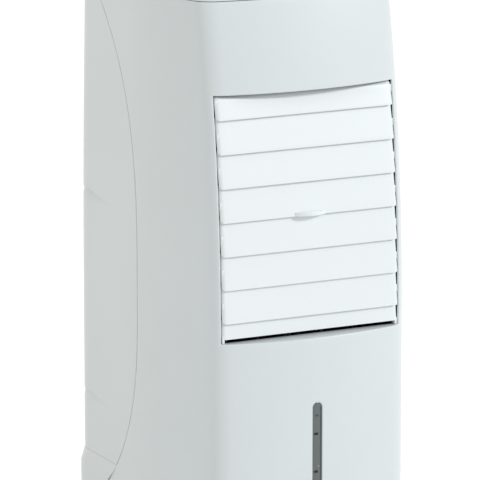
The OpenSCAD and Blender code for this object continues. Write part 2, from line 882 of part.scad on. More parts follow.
function unit(v) = v / norm(v);
function blend_at(r, t) =
    let (
        n = len(r) - 1, i = min(n - 1, floor(t)), u = t - i,
        a = r[max(0, i - 1)], b = r[i], c = r[i + 1], d = r[min(n, i + 2)]
    )
    0.5 * (2 * b + (c - a) * u + (2 * a - 5 * b + 4 * c - d) * u ^ 2
        + (3 * b - a - 3 * c + d) * u ^ 3);

// Round tube swept along a smooth line through the route
module swept_tube(route, r, sides, steps) {
    line = [for (k = [0:steps]) blend_at(route, (len(route) - 1) * k / steps)];
    rings = [for (k = [0:steps])
        let (
            t = unit(line[min(steps, k + 1)] - line[max(0, k - 1)]),
            u = unit(cross(t, [0.2, 1, 0])),
            v = cross(t, u)
        )
        [for (j = [0:sides - 1]) line[k] + r * (cos(360 * j / sides) * u + sin(360 * j / sides) * v)]];
    side = [for (k = [0:steps - 1]) for (i = [0:sides - 1])
        let (j = (i + 1) % sides, a = k * sides + i, b = k * sides + j)
        each [[a, a + sides, b + sides], [a, b + sides, b]]];
    polyhedron(
        points = [for (g = rings) each g],
        faces = concat([[for (i = [0:sides - 1]) i]], side, [[for (i = [sides - 1:-1:0]) steps * sides + i]])
    );
}

module water_hose() {
    color([0.8, 0.85, 0.85])
    difference() {
        swept_tube(hose_route, hose_r, 12, 44);
        rod_z(pump_x, pump_y, hose_z0 - 1, hose_z0 + 15, hose_r - 1.5);
        rod_x(hose_end - 8.5, hose_end + 2, tray_port_y, hose_top, 3);
    }
}

module pad_frame() {
    z0 = pad_frame_low();
    z1 = pad_frame_high();
    hx = window_half + 2;
    color("white")
    difference() {
        box([-hx, pad_front, z0], [hx, pad_back, z1]);
        box([-hx + 3, pad_front + 3, z0 + 3], [hx - 3, pad_back + 1, z1 - 3]);
        for (k = [0:2])
            box([-hx + 9, pad_front - 1, z0 + 9 + k * (z1 - z0 - 12) / 3],
                [hx - 9, pad_front + 5, z0 + 3 + (k + 1) * (z1 - z0 - 12) / 3]);
        box([-hx + 14, tray_port_y - 8, z1 - 5], [hx - 14, tray_port_y + 8, z1 + 5]);
    }
}

module cooling_pad() {
    hx = window_half + 2 - 3 - rest_gap;
    color([0.55, 0.4, 0.25])
    box([-hx, pad_front + 3 + rest_gap, pad_frame_low() + 3 + rest_gap],
        [hx, pad_back - 0.5, pad_frame_high() - 3 - rest_gap]);
}

module water_tray() {
    hx = tray_half;
    z0 = pad_frame_high() + rest_gap;
    z1 = z0 + 13;
    color("white")
    difference() {
        union() {
            box([-hx, pad_front + 2, z0], [hx, pad_back - 2, z1]);
            rod_x(-hx - 8, -hx + 1, tray_port_y, hose_top, 2.9);
        }
        box([-hx + 2, pad_front + 4, z0 + 2], [hx - 2, pad_back - 4, z1 + 1]);
        rod_x(-hx - 10, -hx + 5, tray_port_y, hose_top, 1.9);
        for (k = [0:8])
            rod_z((k - 4) * hx / 5, tray_port_y, z0 - 1, z0 + 5, 1.5);
    }
}

module drain_plug() {
    y = rear_y - 9 + rest_gap;
    color("white")
    union() {
        rod_y(drain_x, y, rear_y - 4, drain_z, 10);
        rod_y(drain_x, y - 16, y + 1, drain_z, 7 - 2 * run_gap);
        box([drain_x - 1.5, rear_y - 5, drain_z - 8], [drain_x + 1.5, rear_y - 0.5, drain_z + 8]);
    }
}

module cord_gland() {
    color([0.2, 0.2, 0.2])
    difference() {
        union() {
            rod_y(gland_x, rear_y - 18, rear_y - 0.5, gland_z, 8);
            rod_y(gland_x, rear_y - 18, rear_y - 14 - rest_gap, gland_z, 11);
        }
        rod_y(gland_x, rear_y - 25, rear_y + 5, gland_z, 3.6);
    }
}

// ---- Rear grilles and filters ----

module grille(z) {
    y1 = grille_face;
    y0 = y1 - grille_t;
    hx = window_half - 0.4;
    rows = 15;
    pitch = (window_h - 22) / rows;
    cols = 3;
    wide = (2 * hx - 18 - 5 * (cols - 1)) / cols;
    color("white")
    difference() {
        box([-hx, y0, z + 0.4], [hx, y1, z + window_h - 0.4]);
        for (k = [0:rows - 1], c = [0:cols - 1])
            box([-hx + 9 + c * (wide + 5), y0 - 1, z + 11 + k * pitch + 1.6],
                [-hx + 9 + c * (wide + 5) + wide, y1 + 1, z + 11 + (k + 1) * pitch - 1.6]);
    }
}

module filter(z) {
    y1 = grille_face - grille_t - rest_gap;
    hx = window_half - ledge - 0.5;
    color([0.3, 0.32, 0.34])
    box([-hx, y1 - 2, z + ledge + 0.5], [hx, y1, z + window_h - ledge - 0.5]);
}

// ---- Castors ----

axle_r = 3;
hub_half = 4;
wheel_w = 8;

module castor_fork(i) {
    at = castor_at(i);
    color("dimgray")
    translate([at.x, at.y, 0])
    difference() {
        union() {
            rod_z(0, 0, castor_top - 1, base_top - 4, stem_r);
            rod_z(0, 0, castor_top - 2, castor_top + 1.7, stem_r + 8);
            box([-hub_half, -6, wheel_r - 2], [hub_half, castor_trail + 6, castor_top - 1]);
            rod_x(-hub_half, hub_half, castor_trail, wheel_r, axle_r + 4);
        }
        rod_x(-hub_half - 5, hub_half + 5, castor_trail, wheel_r, axle_r + run_gap);
    }
}

module castor_wheel(i) {
    at = castor_at(i);
    color([0.25, 0.25, 0.26])
    translate([at.x, at.y + castor_trail, wheel_r])
    union() {
        for (s = [-1, 1])
            rotate([0, 90 * s, 0])
                translate([0, 0, hub_half + 0.4])
                    rotate_extrude($fn = 64)
                        polygon([[0, 0], [wheel_r - 1, 0], [wheel_r, 1], [wheel_r, wheel_w - 2],
                            [wheel_r - 2, wheel_w], [0, wheel_w]]);
        rod_x(-hub_half - 1, hub_half + 1, 0, 0, axle_r);
    }
}

// ---- Nodes ----

base();
base_skirt();
base_heel();
front_shell();
rear_shell();
top_cover();
control_panel();
display_window();
control_board();
water_tank();
gauge_window();
sight_tube();
louvre_frame();
blower_housing();
fan_motor();
swing_motor();
pump();
water_hose();
water_tray();
cooling_pad();
pad_frame();
cord_gland();
cabinet_screws();
slat(0);  // slat_1
slat(1);  // slat_2
slat(2);  // slat_3
slat(3);  // slat_4
slat(4);  // slat_5
slat(5);  // slat_6
slat(6);  // slat_7
slat(7);  // slat_8
slat_link();
vane(0);  // vane_1
vane(1);  // vane_2
vane(2);  // vane_3
vane(3);  // vane_4
vane(4);  // vane_5
vane_link();
fan_wheel();
fan_shaft();
pump_impeller();
grille(window_mid + window_bar);  // upper_grille
grille(window_low);  // lower_grille
filter(window_mid + window_bar);  // upper_filter
filter(window_low);  // lower_filter
button(0);  // button_1
button(1);  // button_2
button(2);  // button_3
button(3);  // button_4
button(4);  // button_5
drain_plug();
filler_lid();
castor_fork(0);  // castor_fork_1
castor_fork(1);  // castor_fork_2
castor_fork(2);  // castor_fork_3
castor_fork(3);  // castor_fork_4
castor_wheel(0);  // castor_wheel_1
castor_wheel(1);  // castor_wheel_2
castor_wheel(2);  // castor_wheel_3
castor_wheel(3);  // castor_wheel_4
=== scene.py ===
"""Tower evaporative cooler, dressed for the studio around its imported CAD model."""

import math

import bmesh
import bpy
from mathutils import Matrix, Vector


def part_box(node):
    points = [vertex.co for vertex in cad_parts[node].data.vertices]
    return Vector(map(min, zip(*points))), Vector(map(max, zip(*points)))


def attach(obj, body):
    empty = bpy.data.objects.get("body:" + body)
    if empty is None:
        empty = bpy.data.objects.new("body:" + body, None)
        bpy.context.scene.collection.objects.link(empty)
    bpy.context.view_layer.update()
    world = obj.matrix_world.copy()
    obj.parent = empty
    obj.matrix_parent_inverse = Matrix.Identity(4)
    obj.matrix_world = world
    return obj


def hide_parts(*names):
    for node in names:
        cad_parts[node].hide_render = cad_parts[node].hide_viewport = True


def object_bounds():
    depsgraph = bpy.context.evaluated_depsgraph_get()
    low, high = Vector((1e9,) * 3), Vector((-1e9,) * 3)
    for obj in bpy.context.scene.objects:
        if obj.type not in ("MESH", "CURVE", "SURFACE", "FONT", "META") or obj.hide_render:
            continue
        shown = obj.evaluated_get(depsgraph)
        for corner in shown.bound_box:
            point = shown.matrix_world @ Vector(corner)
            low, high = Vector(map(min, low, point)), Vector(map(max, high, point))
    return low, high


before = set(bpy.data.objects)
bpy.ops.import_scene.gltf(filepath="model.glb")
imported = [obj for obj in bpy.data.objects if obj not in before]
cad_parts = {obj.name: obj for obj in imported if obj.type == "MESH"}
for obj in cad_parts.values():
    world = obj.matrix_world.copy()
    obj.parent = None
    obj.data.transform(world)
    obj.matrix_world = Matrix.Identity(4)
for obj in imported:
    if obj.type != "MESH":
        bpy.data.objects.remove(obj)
cad_box = [list(corner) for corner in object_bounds()]


# ---- Studio ----
# A white cyclorama floor, large soft boxes and a long portrait lens from the front left,
# a little above the middle of the cabinet.

AIM = Vector((-0.0141, -0.004, 0.4199))
AZIMUTH = -25.92
ELEVATION = 12.92
DISTANCE = 5.8704
LENS = 378.2
FLOOR_SIZE = 60.0


def srgb(hex_code, alpha=1.0):
    """Linear colour of an sRGB hex value."""
    values = [int(hex_code[i : i + 2], 16) / 255 for i in (0, 2, 4)]
    linear = [v / 12.92 if v <= 0.04045 else ((v + 0.055) / 1.055) ** 2.4 for v in values]
    return (*linear, alpha)


def new_material(name):
    material = bpy.data.materials.new(name)
    material.use_nodes = True
    material.node_tree.nodes.clear()
    return material


def node(material, kind, settings=None, inputs=None, links=None):
    """One shader node: its settings, its socket values, and links from (node, output) to its sockets."""
    made = material.node_tree.nodes.new(kind)
    for key, value in (settings or {}).items():
        setattr(made, key, value)
    for key, value in (inputs or {}).items():
        made.inputs[key].default_value = value
    for key, (source, output) in (links or {}).items():
        material.node_tree.links.new(source.outputs[output], made.inputs[key])
    return made


def facing(name, data, azimuth, elevation, distance):
    """An object that faces the middle of the cabinet, from a direction in degrees."""
    turn, rise = math.radians(azimuth), math.radians(elevation)
    flat = math.cos(rise)
    back = Vector((math.sin(turn) * flat, -math.cos(turn) * flat, math.sin(rise)))
    made = bpy.data.objects.new(name, data)
    made.location = AIM + back * distance
    made.rotation_euler = (-back).to_track_quat("-Z", "Y").to_euler()
    bpy.context.scene.collection.objects.link(made)
    return made


def make_camera():
    data = bpy.data.cameras.new("camera")
    data.lens = LENS
    data.sensor_width = 36.0
    data.clip_end = 100.0
    bpy.context.scene.camera = facing("camera", data, AZIMUTH, ELEVATION, DISTANCE)


def soft_box(name, azimuth, elevation, distance, size, power, tint):
    data = bpy.data.lights.new(name, "AREA")
    data.size = size
    data.energy = power
    data.color = srgb(tint)[:3]
    facing(name, data, azimuth, elevation, distance)


def studio_world():
    world = bpy.data.worlds.new("studio")
    world.use_nodes = True
    background = world.node_tree.nodes["Background"]
    background.inputs["Color"].default_value = srgb("F4F7F4")
    background.inputs["Strength"].default_value = 0.70
    bpy.context.scene.world = world


def studio_floor():
    """Matt white paper: it takes the shadow, and shows white to the camera where it is lit."""
    paper = new_material("white_paper")
    diffuse = node(paper, "ShaderNodeBsdfDiffuse", inputs={"Color": srgb("E6E6E6")})
    path = node(paper, "ShaderNodeLightPath")
    rays = {0: (path, "Is Camera Ray"), 1: (path, "Is Glossy Ray")}
    seen = node(paper, "ShaderNodeMath", {"operation": "ADD", "use_clamp": True}, links=rays)
    white = {"Color": (1, 1, 1, 1)}
    glow = node(paper, "ShaderNodeEmission", inputs=white, links={"Strength": (seen, 0)})
    none = node(paper, "ShaderNodeEmission", inputs={"Strength": 0.0})
    lift = node(paper, "ShaderNodeMixShader", inputs={0: 0.5}, links={1: (none, 0), 2: (glow, 0)})
    both = node(paper, "ShaderNodeAddShader", links={0: (diffuse, 0), 1: (lift, 0)})
    node(paper, "ShaderNodeOutputMaterial", links={"Surface": (both, 0)})
    bpy.ops.mesh.primitive_plane_add(size=FLOOR_SIZE, location=(0, 0, cad_box[0][2]))
    floor = bpy.context.object
    floor.name = "studio_floor"
    floor.data.materials.append(paper)


make_camera()
studio_world()
studio_floor()
soft_box("key", 40, 27, 8.0, 0.8, 258, "F6FAFF")
soft_box("fill_left", -98, 32, 3.4, 1.6, 11, "FFFDF6")
bpy.context.scene.view_settings.view_transform = "Standard"


# ---- Moulded white ABS ----
# The shells, base, top cover and lid are injection-moulded ABS. The tool is polished and then
# lightly blasted, so the skin has a satin gloss and a very fine grain.

GRAIN = 0.0006
GRAIN_DEPTH = 0.00005
RIPPLE = 0.09
SINK_DEPTH = 0.0008
GLOSS_SPREAD = 0.03
DULLER = 0.975


def moulded_plastic(name, hex_code, roughness=0.32, grain=0.05, ripple=0.02, ior=1.54, coat=0.0):
    """Moulded plastic: fine grain from the blasted tool, slow sink ripple, and slightly uneven gloss."""
    plastic = new_material(name)
    at = {"Vector": (node(plastic, "ShaderNodeTexCoord"), "Object")}
    fine = node(plastic, "ShaderNodeTexNoise", inputs={"Scale": 1 / GRAIN, "Detail": 2.0}, links=at)
    slow = node(plastic, "ShaderNodeTexNoise", inputs={"Scale": 1 / RIPPLE, "Detail": 1.0}, links=at)
    spread_of = {"To Min": roughness - GLOSS_SPREAD, "To Max": roughness + GLOSS_SPREAD}
    gloss = node(plastic, "ShaderNodeMapRange", inputs=spread_of, links={"Value": (slow, "Fac")})
    sink = {"Strength": ripple, "Distance": SINK_DEPTH}
    sink = node(plastic, "ShaderNodeBump", inputs=sink, links={"Height": (slow, "Fac")})
    bump = node(
        plastic,
        "ShaderNodeBump",
        inputs={"Strength": grain, "Distance": GRAIN_DEPTH},
        links={"Height": (fine, "Fac"), "Normal": (sink, "Normal")},
    )
    base = srgb(hex_code)
    tint = node(
        plastic,
        "ShaderNodeMix",
        settings={"data_type": "RGBA"},
        inputs={"A": base, "B": tuple(c * DULLER for c in base[:3]) + (1.0,)},
        links={"Factor": (slow, "Fac")},
    )
    shader = node(
        plastic,
        "ShaderNodeBsdfPrincipled",
        inputs={"IOR": ior, "Coat Weight": coat},
        links={"Base Color": (tint, "Result"), "Roughness": (gloss, "Result"), "Normal": (bump, "Normal")},
    )
    node(plastic, "ShaderNodeOutputMaterial", links={"Surface": (shader, 0)})
    return plastic


WHITE_ABS = moulded_plastic("satin_white_abs", "E2E6E8")
SLAT_ABS = moulded_plastic("bright_white_abs", "F3F6F7", roughness=0.34)


# ---- Form of the cabinet ----
# Every shell follows one plan outline of four arcs. It leans back above the louvre's sill,
# and narrows a little towards the top.

shell_lo, shell_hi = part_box("front_shell")
base_lo, base_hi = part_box("base_skirt")
HALF = shell_hi.x
FRONT = shell_lo.y
REAR = FRONT + 0.348
SHELL_LOW = shell_lo.z
SHELL_HIGH = shell_hi.z
BASE_TOP = SHELL_LOW - 0.0003
WALL = 0.003
SEAM_GAP = 0.0008
NOSE = math.radians(15)
CORNER = math.radians(72)
CORNER_R = 0.032
REAR_R = 0.040
CORNER_INSET = 0.0465
LEAN_R = 1.713
LEAN_Z = BASE_TOP + 0.290
TAPER_H = 0.450
SIDE_TAPER = 0.0045
REAR_TAPER = 0.006


def lean(z):
    return LEAN_R - math.sqrt(LEAN_R**2 - (z - LEAN_Z) ** 2) if z > LEAN_Z else 0.0


def taper(z):
    return (max(0.0, z - LEAN_Z) / TAPER_H) ** 2


def normal_at(angle):
    return Vector((math.sin(angle), -math.cos(angle)))


class Outline:
    """Half of a plan outline, measured by its arc length from the middle of the front."""

    def __init__(self, half, rear):
        self.half, self.rear = half, rear
        self.nose_r = (half - CORNER_INSET) / math.sin(NOSE)
        nose = Vector((0, FRONT + self.nose_r))
        self.corner = nose + (self.nose_r - CORNER_R) * normal_at(NOSE)
        self.side_r = (half - self.corner.x - CORNER_R * math.sin(CORNER)) / (1 - math.sin(CORNER))
        self.flank = self.corner + (CORNER_R - self.side_r) * normal_at(CORNER)
        self.heel = Vector((half - REAR_R, rear - REAR_R))
        right, back = math.pi / 2, math.pi
        # Each part's length, centre, radius, first angle, and whether it turns or runs straight.
        self.parts = (
            (self.nose_r * NOSE, nose, self.nose_r, 0.0, True),
            (CORNER_R * (CORNER - NOSE), self.corner, CORNER_R, NOSE, True),
            (self.side_r * (right - CORNER), self.flank, self.side_r, CORNER, True),
            (self.heel.y - self.flank.y, self.flank, self.side_r, right, False),
            (REAR_R * right, self.heel, REAR_R, right, True),
            (half - REAR_R, self.heel, REAR_R, back, False),
        )
        self.ends = [sum(part[0] for part in self.parts[: i + 1]) for i in range(len(self.parts))]
        self.length = self.ends[-1]

    def point(self, s):
        """Plan point and outward normal at arc length s; a negative s is on the left half."""
        side = -1 if s < 0 else 1
        part, along = self.share(min(abs(s), self.length))
        length, centre, radius, angle, turns = self.parts[part]
        past = along * length
        n = normal_at(angle + past / radius if turns else angle)
        p = centre + radius * n
        if not turns:
            p += past * Vector((-n.y, n.x))
        return Vector((p.x * side, p.y)), Vector((n.x * side, n.y))

    def at_x(self, x):
        """Arc length of the front point with this x."""
        if x <= self.nose_r * math.sin(NOSE):
            return self.nose_r * math.asin(x / self.nose_r)
        return self.ends[0] + CORNER_R * (math.asin((x - self.corner.x) / CORNER_R) - NOSE)

    def share(self, s):
        """Which part of the outline s is on, and how far along it."""
        start = 0.0
        for part, end in enumerate(self.ends):
            if s <= end or end == self.length:
                return part, (s - start) / (end - start)
            start = end

    def at_share(self, part, along):
        start = self.ends[part - 1] if part else 0.0
        return start + along * (self.ends[part] - start)

    def at_y(self, y):
        """Arc length of the side point with this y, from the side arc to the rear corner."""
        if y < self.flank.y:
            return self.ends[1] + self.side_r * (math.acos((self.flank.y - y) / self.side_r) - CORNER)
        if y <= self.heel.y:
            return self.ends[2] + y - self.flank.y
        return self.ends[3] + REAR_R * math.asin(min(1.0, (y - self.heel.y) / REAR_R))

    def scale(self, z):
        """Scale of x, of y in front of the middle, and of y behind it, at a height."""
        return (
            1 - SIDE_TAPER * taper(z) / self.half,
            1 + lean(z) / FRONT,
            1 - REAR_TAPER * taper(z) / self.rear,
        )

    def place(self, s, z, inset=0.0):
        p, n = self.point(s)
        p = p - inset * n
        sx, front, rear = self.scale(z)
        return Vector((p.x * sx, p.y * (front if p.y < 0 else rear), z))

    def s_at(self, z, x=None, y=None):
        """Arc length of the point whose real x, or y, is given at this height."""
        sx, front, rear = self.scale(z)
        if x is not None:
            return self.at_x(x / sx)
        return self.at_y(y / (front if y < 0 else rear))


def cut(piece, cutter):
    """Takes a cutter's solid out of a piece, and the cutter out of the scene."""
    boolean = piece.modifiers.new("cut", "BOOLEAN")
    boolean.operation = "DIFFERENCE"
    boolean.solver = "EXACT"
    boolean.object = cutter
    keep_modifiers(piece)
    bpy.data.objects.remove(cutter)


def shown(piece, body, slot, *nodes):
    """Every finished piece rides on its body and stands for its CAD nodes, which it hides; its slot is not
    used.
    """
    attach(piece, body)
    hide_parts(*nodes)


SAME_POINT = 2e-6
SHELL = Outline(HALF, REAR)
SKIRT = Outline(base_hi.x, base_hi.y)

# The side seam bows forward, and sweeps back at the top and at the foot.
SEAM_MID_Z = BASE_TOP + 0.305
SEAM_MID_Y = FRONT + 0.1665
SEAM_TOP_REACH, SEAM_TOP_H, SEAM_TOP_POWER = 0.1015, 0.333, 3.3
SEAM_LOW_REACH, SEAM_LOW_H, SEAM_LOW_POWER = 0.0595, 0.213, 3.0


def seam_y(z):
    if z > SEAM_MID_Z:
        return SEAM_MID_Y + SEAM_TOP_REACH * ((z - SEAM_MID_Z) / SEAM_TOP_H) ** SEAM_TOP_POWER
    return SEAM_MID_Y + SEAM_LOW_REACH * ((SEAM_MID_Z - z) / SEAM_LOW_H) ** SEAM_LOW_POWER


def spread(start, end, count):
    """Evenly spaced values, both ends included."""
    return [start + (end - start) * i / count for i in range(count + 1)]


def rows_through(stops, step):
    """Heights that pass through every stop, about one step apart."""
    rows = [stops[0]]
    for low, high in zip(stops, stops[1:]):
        rows += spread(low, high, max(1, round((high - low) / step)))[1:]
    return rows


def keep_modifiers(piece):
    """Applies a piece's modifiers to its mesh."""
    bpy.context.view_layer.update()
    evaluated = piece.evaluated_get(bpy.context.evaluated_depsgraph_get())
    finished = bpy.data.meshes.new_from_object(evaluated)
    piece.modifiers.clear()
    piece.data = finished
    return piece


def smooth(piece):
    for face in piece.data.polygons:
        face.use_smooth = True
    return piece


def round_edges(piece, radius, segments=2, angle=40):
    bevel = piece.modifiers.new("edge", "BEVEL")
    bevel.width = radius
    bevel.segments = segments
    bevel.limit_method = "ANGLE"
    bevel.angle_limit = math.radians(angle)
    bevel.use_clamp_overlap = True
    weighted = piece.modifiers.new("shading", "WEIGHTED_NORMAL")
    weighted.keep_sharp = True
    weighted.weight = 80
    return keep_modifiers(smooth(keep_modifiers(piece)))


class Skin:
    """A sheet of quads over rows and columns of points, with holes where cells are left out."""

    def __init__(self):
        self.verts, self.faces = [], []

    def add(self, point):
        self.verts.append(point)
        return len(self.verts) - 1

    def grid(self, points, skip=None, closed=False):
        ids = [[self.add(p) for p in row] for row in points]
        self.fill(ids, skip, closed)
        return ids

    def fill(self, ids, skip=None, closed=False):
        for r in range(len(ids) - 1):
            count = len(ids[r]) - (0 if closed else 1)
            for c in range(count):
                d = (c + 1) % len(ids[r])
                if not (skip and skip(r, c)):
                    self.faces.append((ids[r][c], ids[r][d], ids[r + 1][d], ids[r + 1][c]))

    def slab(self, low, high):
        """A closed solid between two loops of points with as many points each."""
        a = [self.add(p) for p in low]
        b = [self.add(p) for p in high]
        self.fill([a, b], closed=True)
        self.faces += [tuple(reversed(a)), tuple(b)]

    def piece(self, name, material, closed=True):
        mesh = bpy.data.meshes.new(name)
        mesh.from_pydata([tuple(v) for v in self.verts], [], self.faces)
        mesh.validate()
        mesh.materials.append(material)
        made = bpy.data.objects.new(name, mesh)
        bpy.context.scene.collection.objects.link(made)
        cleanup = bmesh.new()
        cleanup.from_mesh(mesh)
        bmesh.ops.remove_doubles(cleanup, verts=cleanup.verts, dist=SAME_POINT)
        loose = [v for v in cleanup.verts if not v.link_faces]
        bmesh.ops.delete(cleanup, geom=loose, context="VERTS")
        if closed:
            bmesh.ops.recalc_face_normals(cleanup, faces=cleanup.faces)
        cleanup.to_mesh(mesh)
        cleanup.free()
        return made

    def moulding(self, name, material, wall):
        """An outer skin that is given its wall, inwards."""
        made = self.piece(name, material, closed=False)
        solid = made.modifiers.new("wall", "SOLIDIFY")
        solid.thickness = wall
        solid.offset = -1
        solid.use_even_offset = True
        return keep_modifiers(made)


# ---- Front shell ----
# One moulding round the front and both sides, with the louvre opening and the gauge slot
# moulded in. The sill under the louvre is a ledge of the same moulding.

OPEN_HALF = 0.114
OPEN_LOW = BASE_TOP + 0.280
OPEN_TALL = 0.2835
OPEN_HIGH = OPEN_LOW + OPEN_TALL
MID_COLUMNS = 48
SIDE_COLUMNS = 44
GAUGE_HALF = 0.006
GAUGE_LOW = BASE_TOP + 0.050
GAUGE_HIGH = BASE_TOP + 0.204
PATCH_COLUMNS = 3
PATCH_MARGIN = 0.010
ROW_STEP = 0.005
RIM_ROUND = 0.0012
SILL_THICK = 0.003
SILL_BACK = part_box("slat_8")[0].y + 0.006


def front_s(x, z):
    """Arc length of a front point from its real x; it is negative on the left."""
    return math.copysign(SHELL.s_at(z, x=abs(x)), x)


def front_shell():
    patch_low, patch_high = GAUGE_LOW - PATCH_MARGIN, GAUGE_HIGH + PATCH_MARGIN
    rows = rows_through([SHELL_LOW, patch_low, patch_high, OPEN_LOW, OPEN_HIGH, SHELL_HIGH], ROW_STEP)
    points = []
    for z in rows:
        edge = SHELL.s_at(z, x=OPEN_HALF)
        seam = SHELL.s_at(z, y=seam_y(z))
        across = [front_s(x, z) for x in spread(-OPEN_HALF, OPEN_HALF, MID_COLUMNS)]
        side = spread(edge, seam, SIDE_COLUMNS)[1:]
        stations = [-s for s in reversed(side)] + across + side
        points.append([SHELL.place(s, z) for s in stations])
    first = SIDE_COLUMNS
    middle = first + MID_COLUMNS // 2

    def left_out(r, c):
        z = (rows[r] + rows[r + 1]) / 2
        in_opening = first <= c < first + MID_COLUMNS and OPEN_LOW < z < OPEN_HIGH
        in_patch = middle - PATCH_COLUMNS <= c < middle + PATCH_COLUMNS and patch_low < z < patch_high
        return in_opening or in_patch

    skin = Skin()
    ids = skin.grid(points, left_out)
    gauge_slot(skin, ids, rows.index(patch_low), rows.index(patch_high), middle)
    return round_edges(skin.moulding("front_shell_moulding", WHITE_ABS, WALL), RIM_ROUND, segments=3)


def gauge_slot(skin, ids, low, high, middle):
    """The rounded slot: rings of quads from the patch's border in to the slot's edge."""
    left, right = middle - PATCH_COLUMNS, middle + PATCH_COLUMNS
    border = [ids[low][c] for c in range(left, right)]
    border += [ids[r][right] for r in range(low, high)]
    border += [ids[high][c] for c in range(right, left, -1)]
    border += [ids[r][left] for r in range(high, low, -1)]
    ring_low, ring_high = GAUGE_LOW + GAUGE_HALF, GAUGE_HIGH - GAUGE_HALF
    loops = [border]
    for step in (0.4, 0.75, 1.0):
        loop = []
        for i in border:
            outer = skin.verts[i]
            centre = min(max(outer.z, ring_low), ring_high)
            if ring_low < outer.z < ring_high:
                edge_x, edge_z = math.copysign(GAUGE_HALF, outer.x), outer.z
            else:
                ray = Vector((outer.x, outer.z - centre)).normalized() * GAUGE_HALF
                edge_x, edge_z = ray.x, centre + ray.y
            x = outer.x + (edge_x - outer.x) * step
            z = outer.z + (edge_z - outer.z) * step
            loop.append(skin.add(SHELL.place(front_s(x, z), z)))
        loops.append(loop)
    skin.fill(loops, closed=True)


def sill():
    """Ledge under the lowest slat, from the front wall back to the louvre frame."""
    skin = Skin()
    loops = []
    for z in (OPEN_LOW - SILL_THICK, OPEN_LOW - 0.0001):
        front = [SHELL.place(front_s(x, z), z, WALL / 2) for x in spread(-OPEN_HALF, OPEN_HALF, 40)]
        back = [Vector((p.x, max(SILL_BACK, p.y + 0.001), z)) for p in reversed(front)]
        loops.append(front + back)
    skin.slab(*loops)
    return skin.piece("front_shell_sill", WHITE_ABS)


shown(front_shell(), "cabinet", "white_abs", "front_shell")
shown(sill(), "cabinet", "white_abs", "front_shell")


# ---- Rear shell ----
# The second moulding. It closes the cabinet behind the side seam, and has two windows for
# the rear panels and a tapering finger scoop beside each of them.

up_lo, up_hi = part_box("upper_grille")
low_lo, low_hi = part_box("lower_grille")
rear_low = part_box("rear_shell")[0].z
PANEL_GAP = 0.0004
WINDOW_HALF = up_hi.x + PANEL_GAP
WINDOWS = [(low.z - PANEL_GAP, high.z + PANEL_GAP) for low, high in ((low_lo, low_hi), (up_lo, up_hi))]
REAR_COLUMNS = 44
REAR_SIDE_COLUMNS = 60
SCOOP_LINES = [WINDOWS[0][0] - 0.014, WINDOWS[0][1] - 0.001]
SCOOP_DEPTH = 0.0030
SCOOP_TALL = 0.016
SCOOP_START = 0.052
SCOOP_FULL = 0.122
SCOOP_RISE = 0.009
SCOOP_REACH = 0.030
SCOOP_END = math.radians(62)


def ease(t):
    t = min(1.0, max(0.0, t))
    return t * t * (3 - 2 * t)


def scoop_strength(p, n):
    """How deep the scoop is at a plan point: it grows to the rear, and fades round the corner."""
    grow = ease((p.y - SCOOP_START) / (SCOOP_FULL - SCOOP_START))
    turn = math.atan2(n.y, abs(n.x))
    return grow * (1 - ease(turn / SCOOP_END))


def scoop_shift(z, p):
    """Rows near a scoop slope with its upper edge, which falls towards the front."""
    if p.y <= 0 or abs(p.x) <= WINDOW_HALF:
        return 0.0
    along = min(1.0, max(0.0, (p.y - SCOOP_START) / (SCOOP_FULL - SCOOP_START)))
    near = max(math.exp(-(((z - line) / SCOOP_REACH) ** 2)) for line in SCOOP_LINES)
    fade = ease((p.y - 0.012) / 0.03) * (1 - ease((p.y - 0.150) / 0.015))
    return near * SCOOP_RISE * (along - 1) * fade


def scoop_inset(z, strength):
    for line in SCOOP_LINES:
        if strength > 0 and line - SCOOP_TALL * strength < z < line:
            fall = (line - z) / (SCOOP_TALL * strength)
            return SCOOP_DEPTH * strength * (1 - fall) ** 1.4
    return 0.0


def rear_rows():
    stops = [rear_low, *WINDOWS[0], *WINDOWS[1], SHELL_HIGH]
    rows = rows_through(stops, ROW_STEP)
    for line in SCOOP_LINES:
        rows = [z for z in rows if not line - SCOOP_TALL - 0.001 < z < line + 0.001 or z in stops]
        rows += spread(line - SCOOP_TALL, line - 0.0001, 14) + [line + 0.0002]
    rows = sorted(rows)
    return [z for i, z in enumerate(rows) if i == 0 or z in stops or z - rows[i - 1] > 0.0001]


def rear_wall_y(x, z):
    """Y of the rear wall at a real x: flat in the middle, turning forward near the windows' sides."""
    if abs(x) <= SHELL.heel.x:
        return SHELL.place(SHELL.length, z).y
    turn = math.asin((abs(x) - SHELL.heel.x) / REAR_R)
    return SHELL.place(SHELL.ends[4] - REAR_R * turn, z).y


def rear_shell():
    rows = rear_rows()
    window_s = SHELL.ends[4] - REAR_R * math.asin((WINDOW_HALF - SHELL.heel.x) / REAR_R)
    points = []
    for z in rows:
        seam = SHELL.s_at(z, y=seam_y(z) + SEAM_GAP)
        row = []
        for s in spread(seam, window_s, REAR_SIDE_COLUMNS):
            p, n = SHELL.point(s)
            place = SHELL.place(s, z, scoop_inset(z, scoop_strength(p, n)))
            place.z += scoop_shift(z, p)
            row.append(place)
        row[-1] = Vector((WINDOW_HALF, rear_wall_y(WINDOW_HALF, z), z))
        across = spread(WINDOW_HALF, -WINDOW_HALF, REAR_COLUMNS)[1:-1]
        mirrored = [Vector((-p.x, p.y, p.z)) for p in reversed(row)]
        points.append(row + [Vector((x, rear_wall_y(x, z), z)) for x in across] + mirrored)

    def left_out(r, c):
        z = (rows[r] + rows[r + 1]) / 2
        inside = any(low < z < high for low, high in WINDOWS)
        return inside and REAR_SIDE_COLUMNS <= c < REAR_SIDE_COLUMNS + REAR_COLUMNS

    skin = Skin()
    skin.grid(points, left_out)
    return round_edges(skin.moulding("rear_shell_moulding", WHITE_ABS, WALL), RIM_ROUND, segments=3)


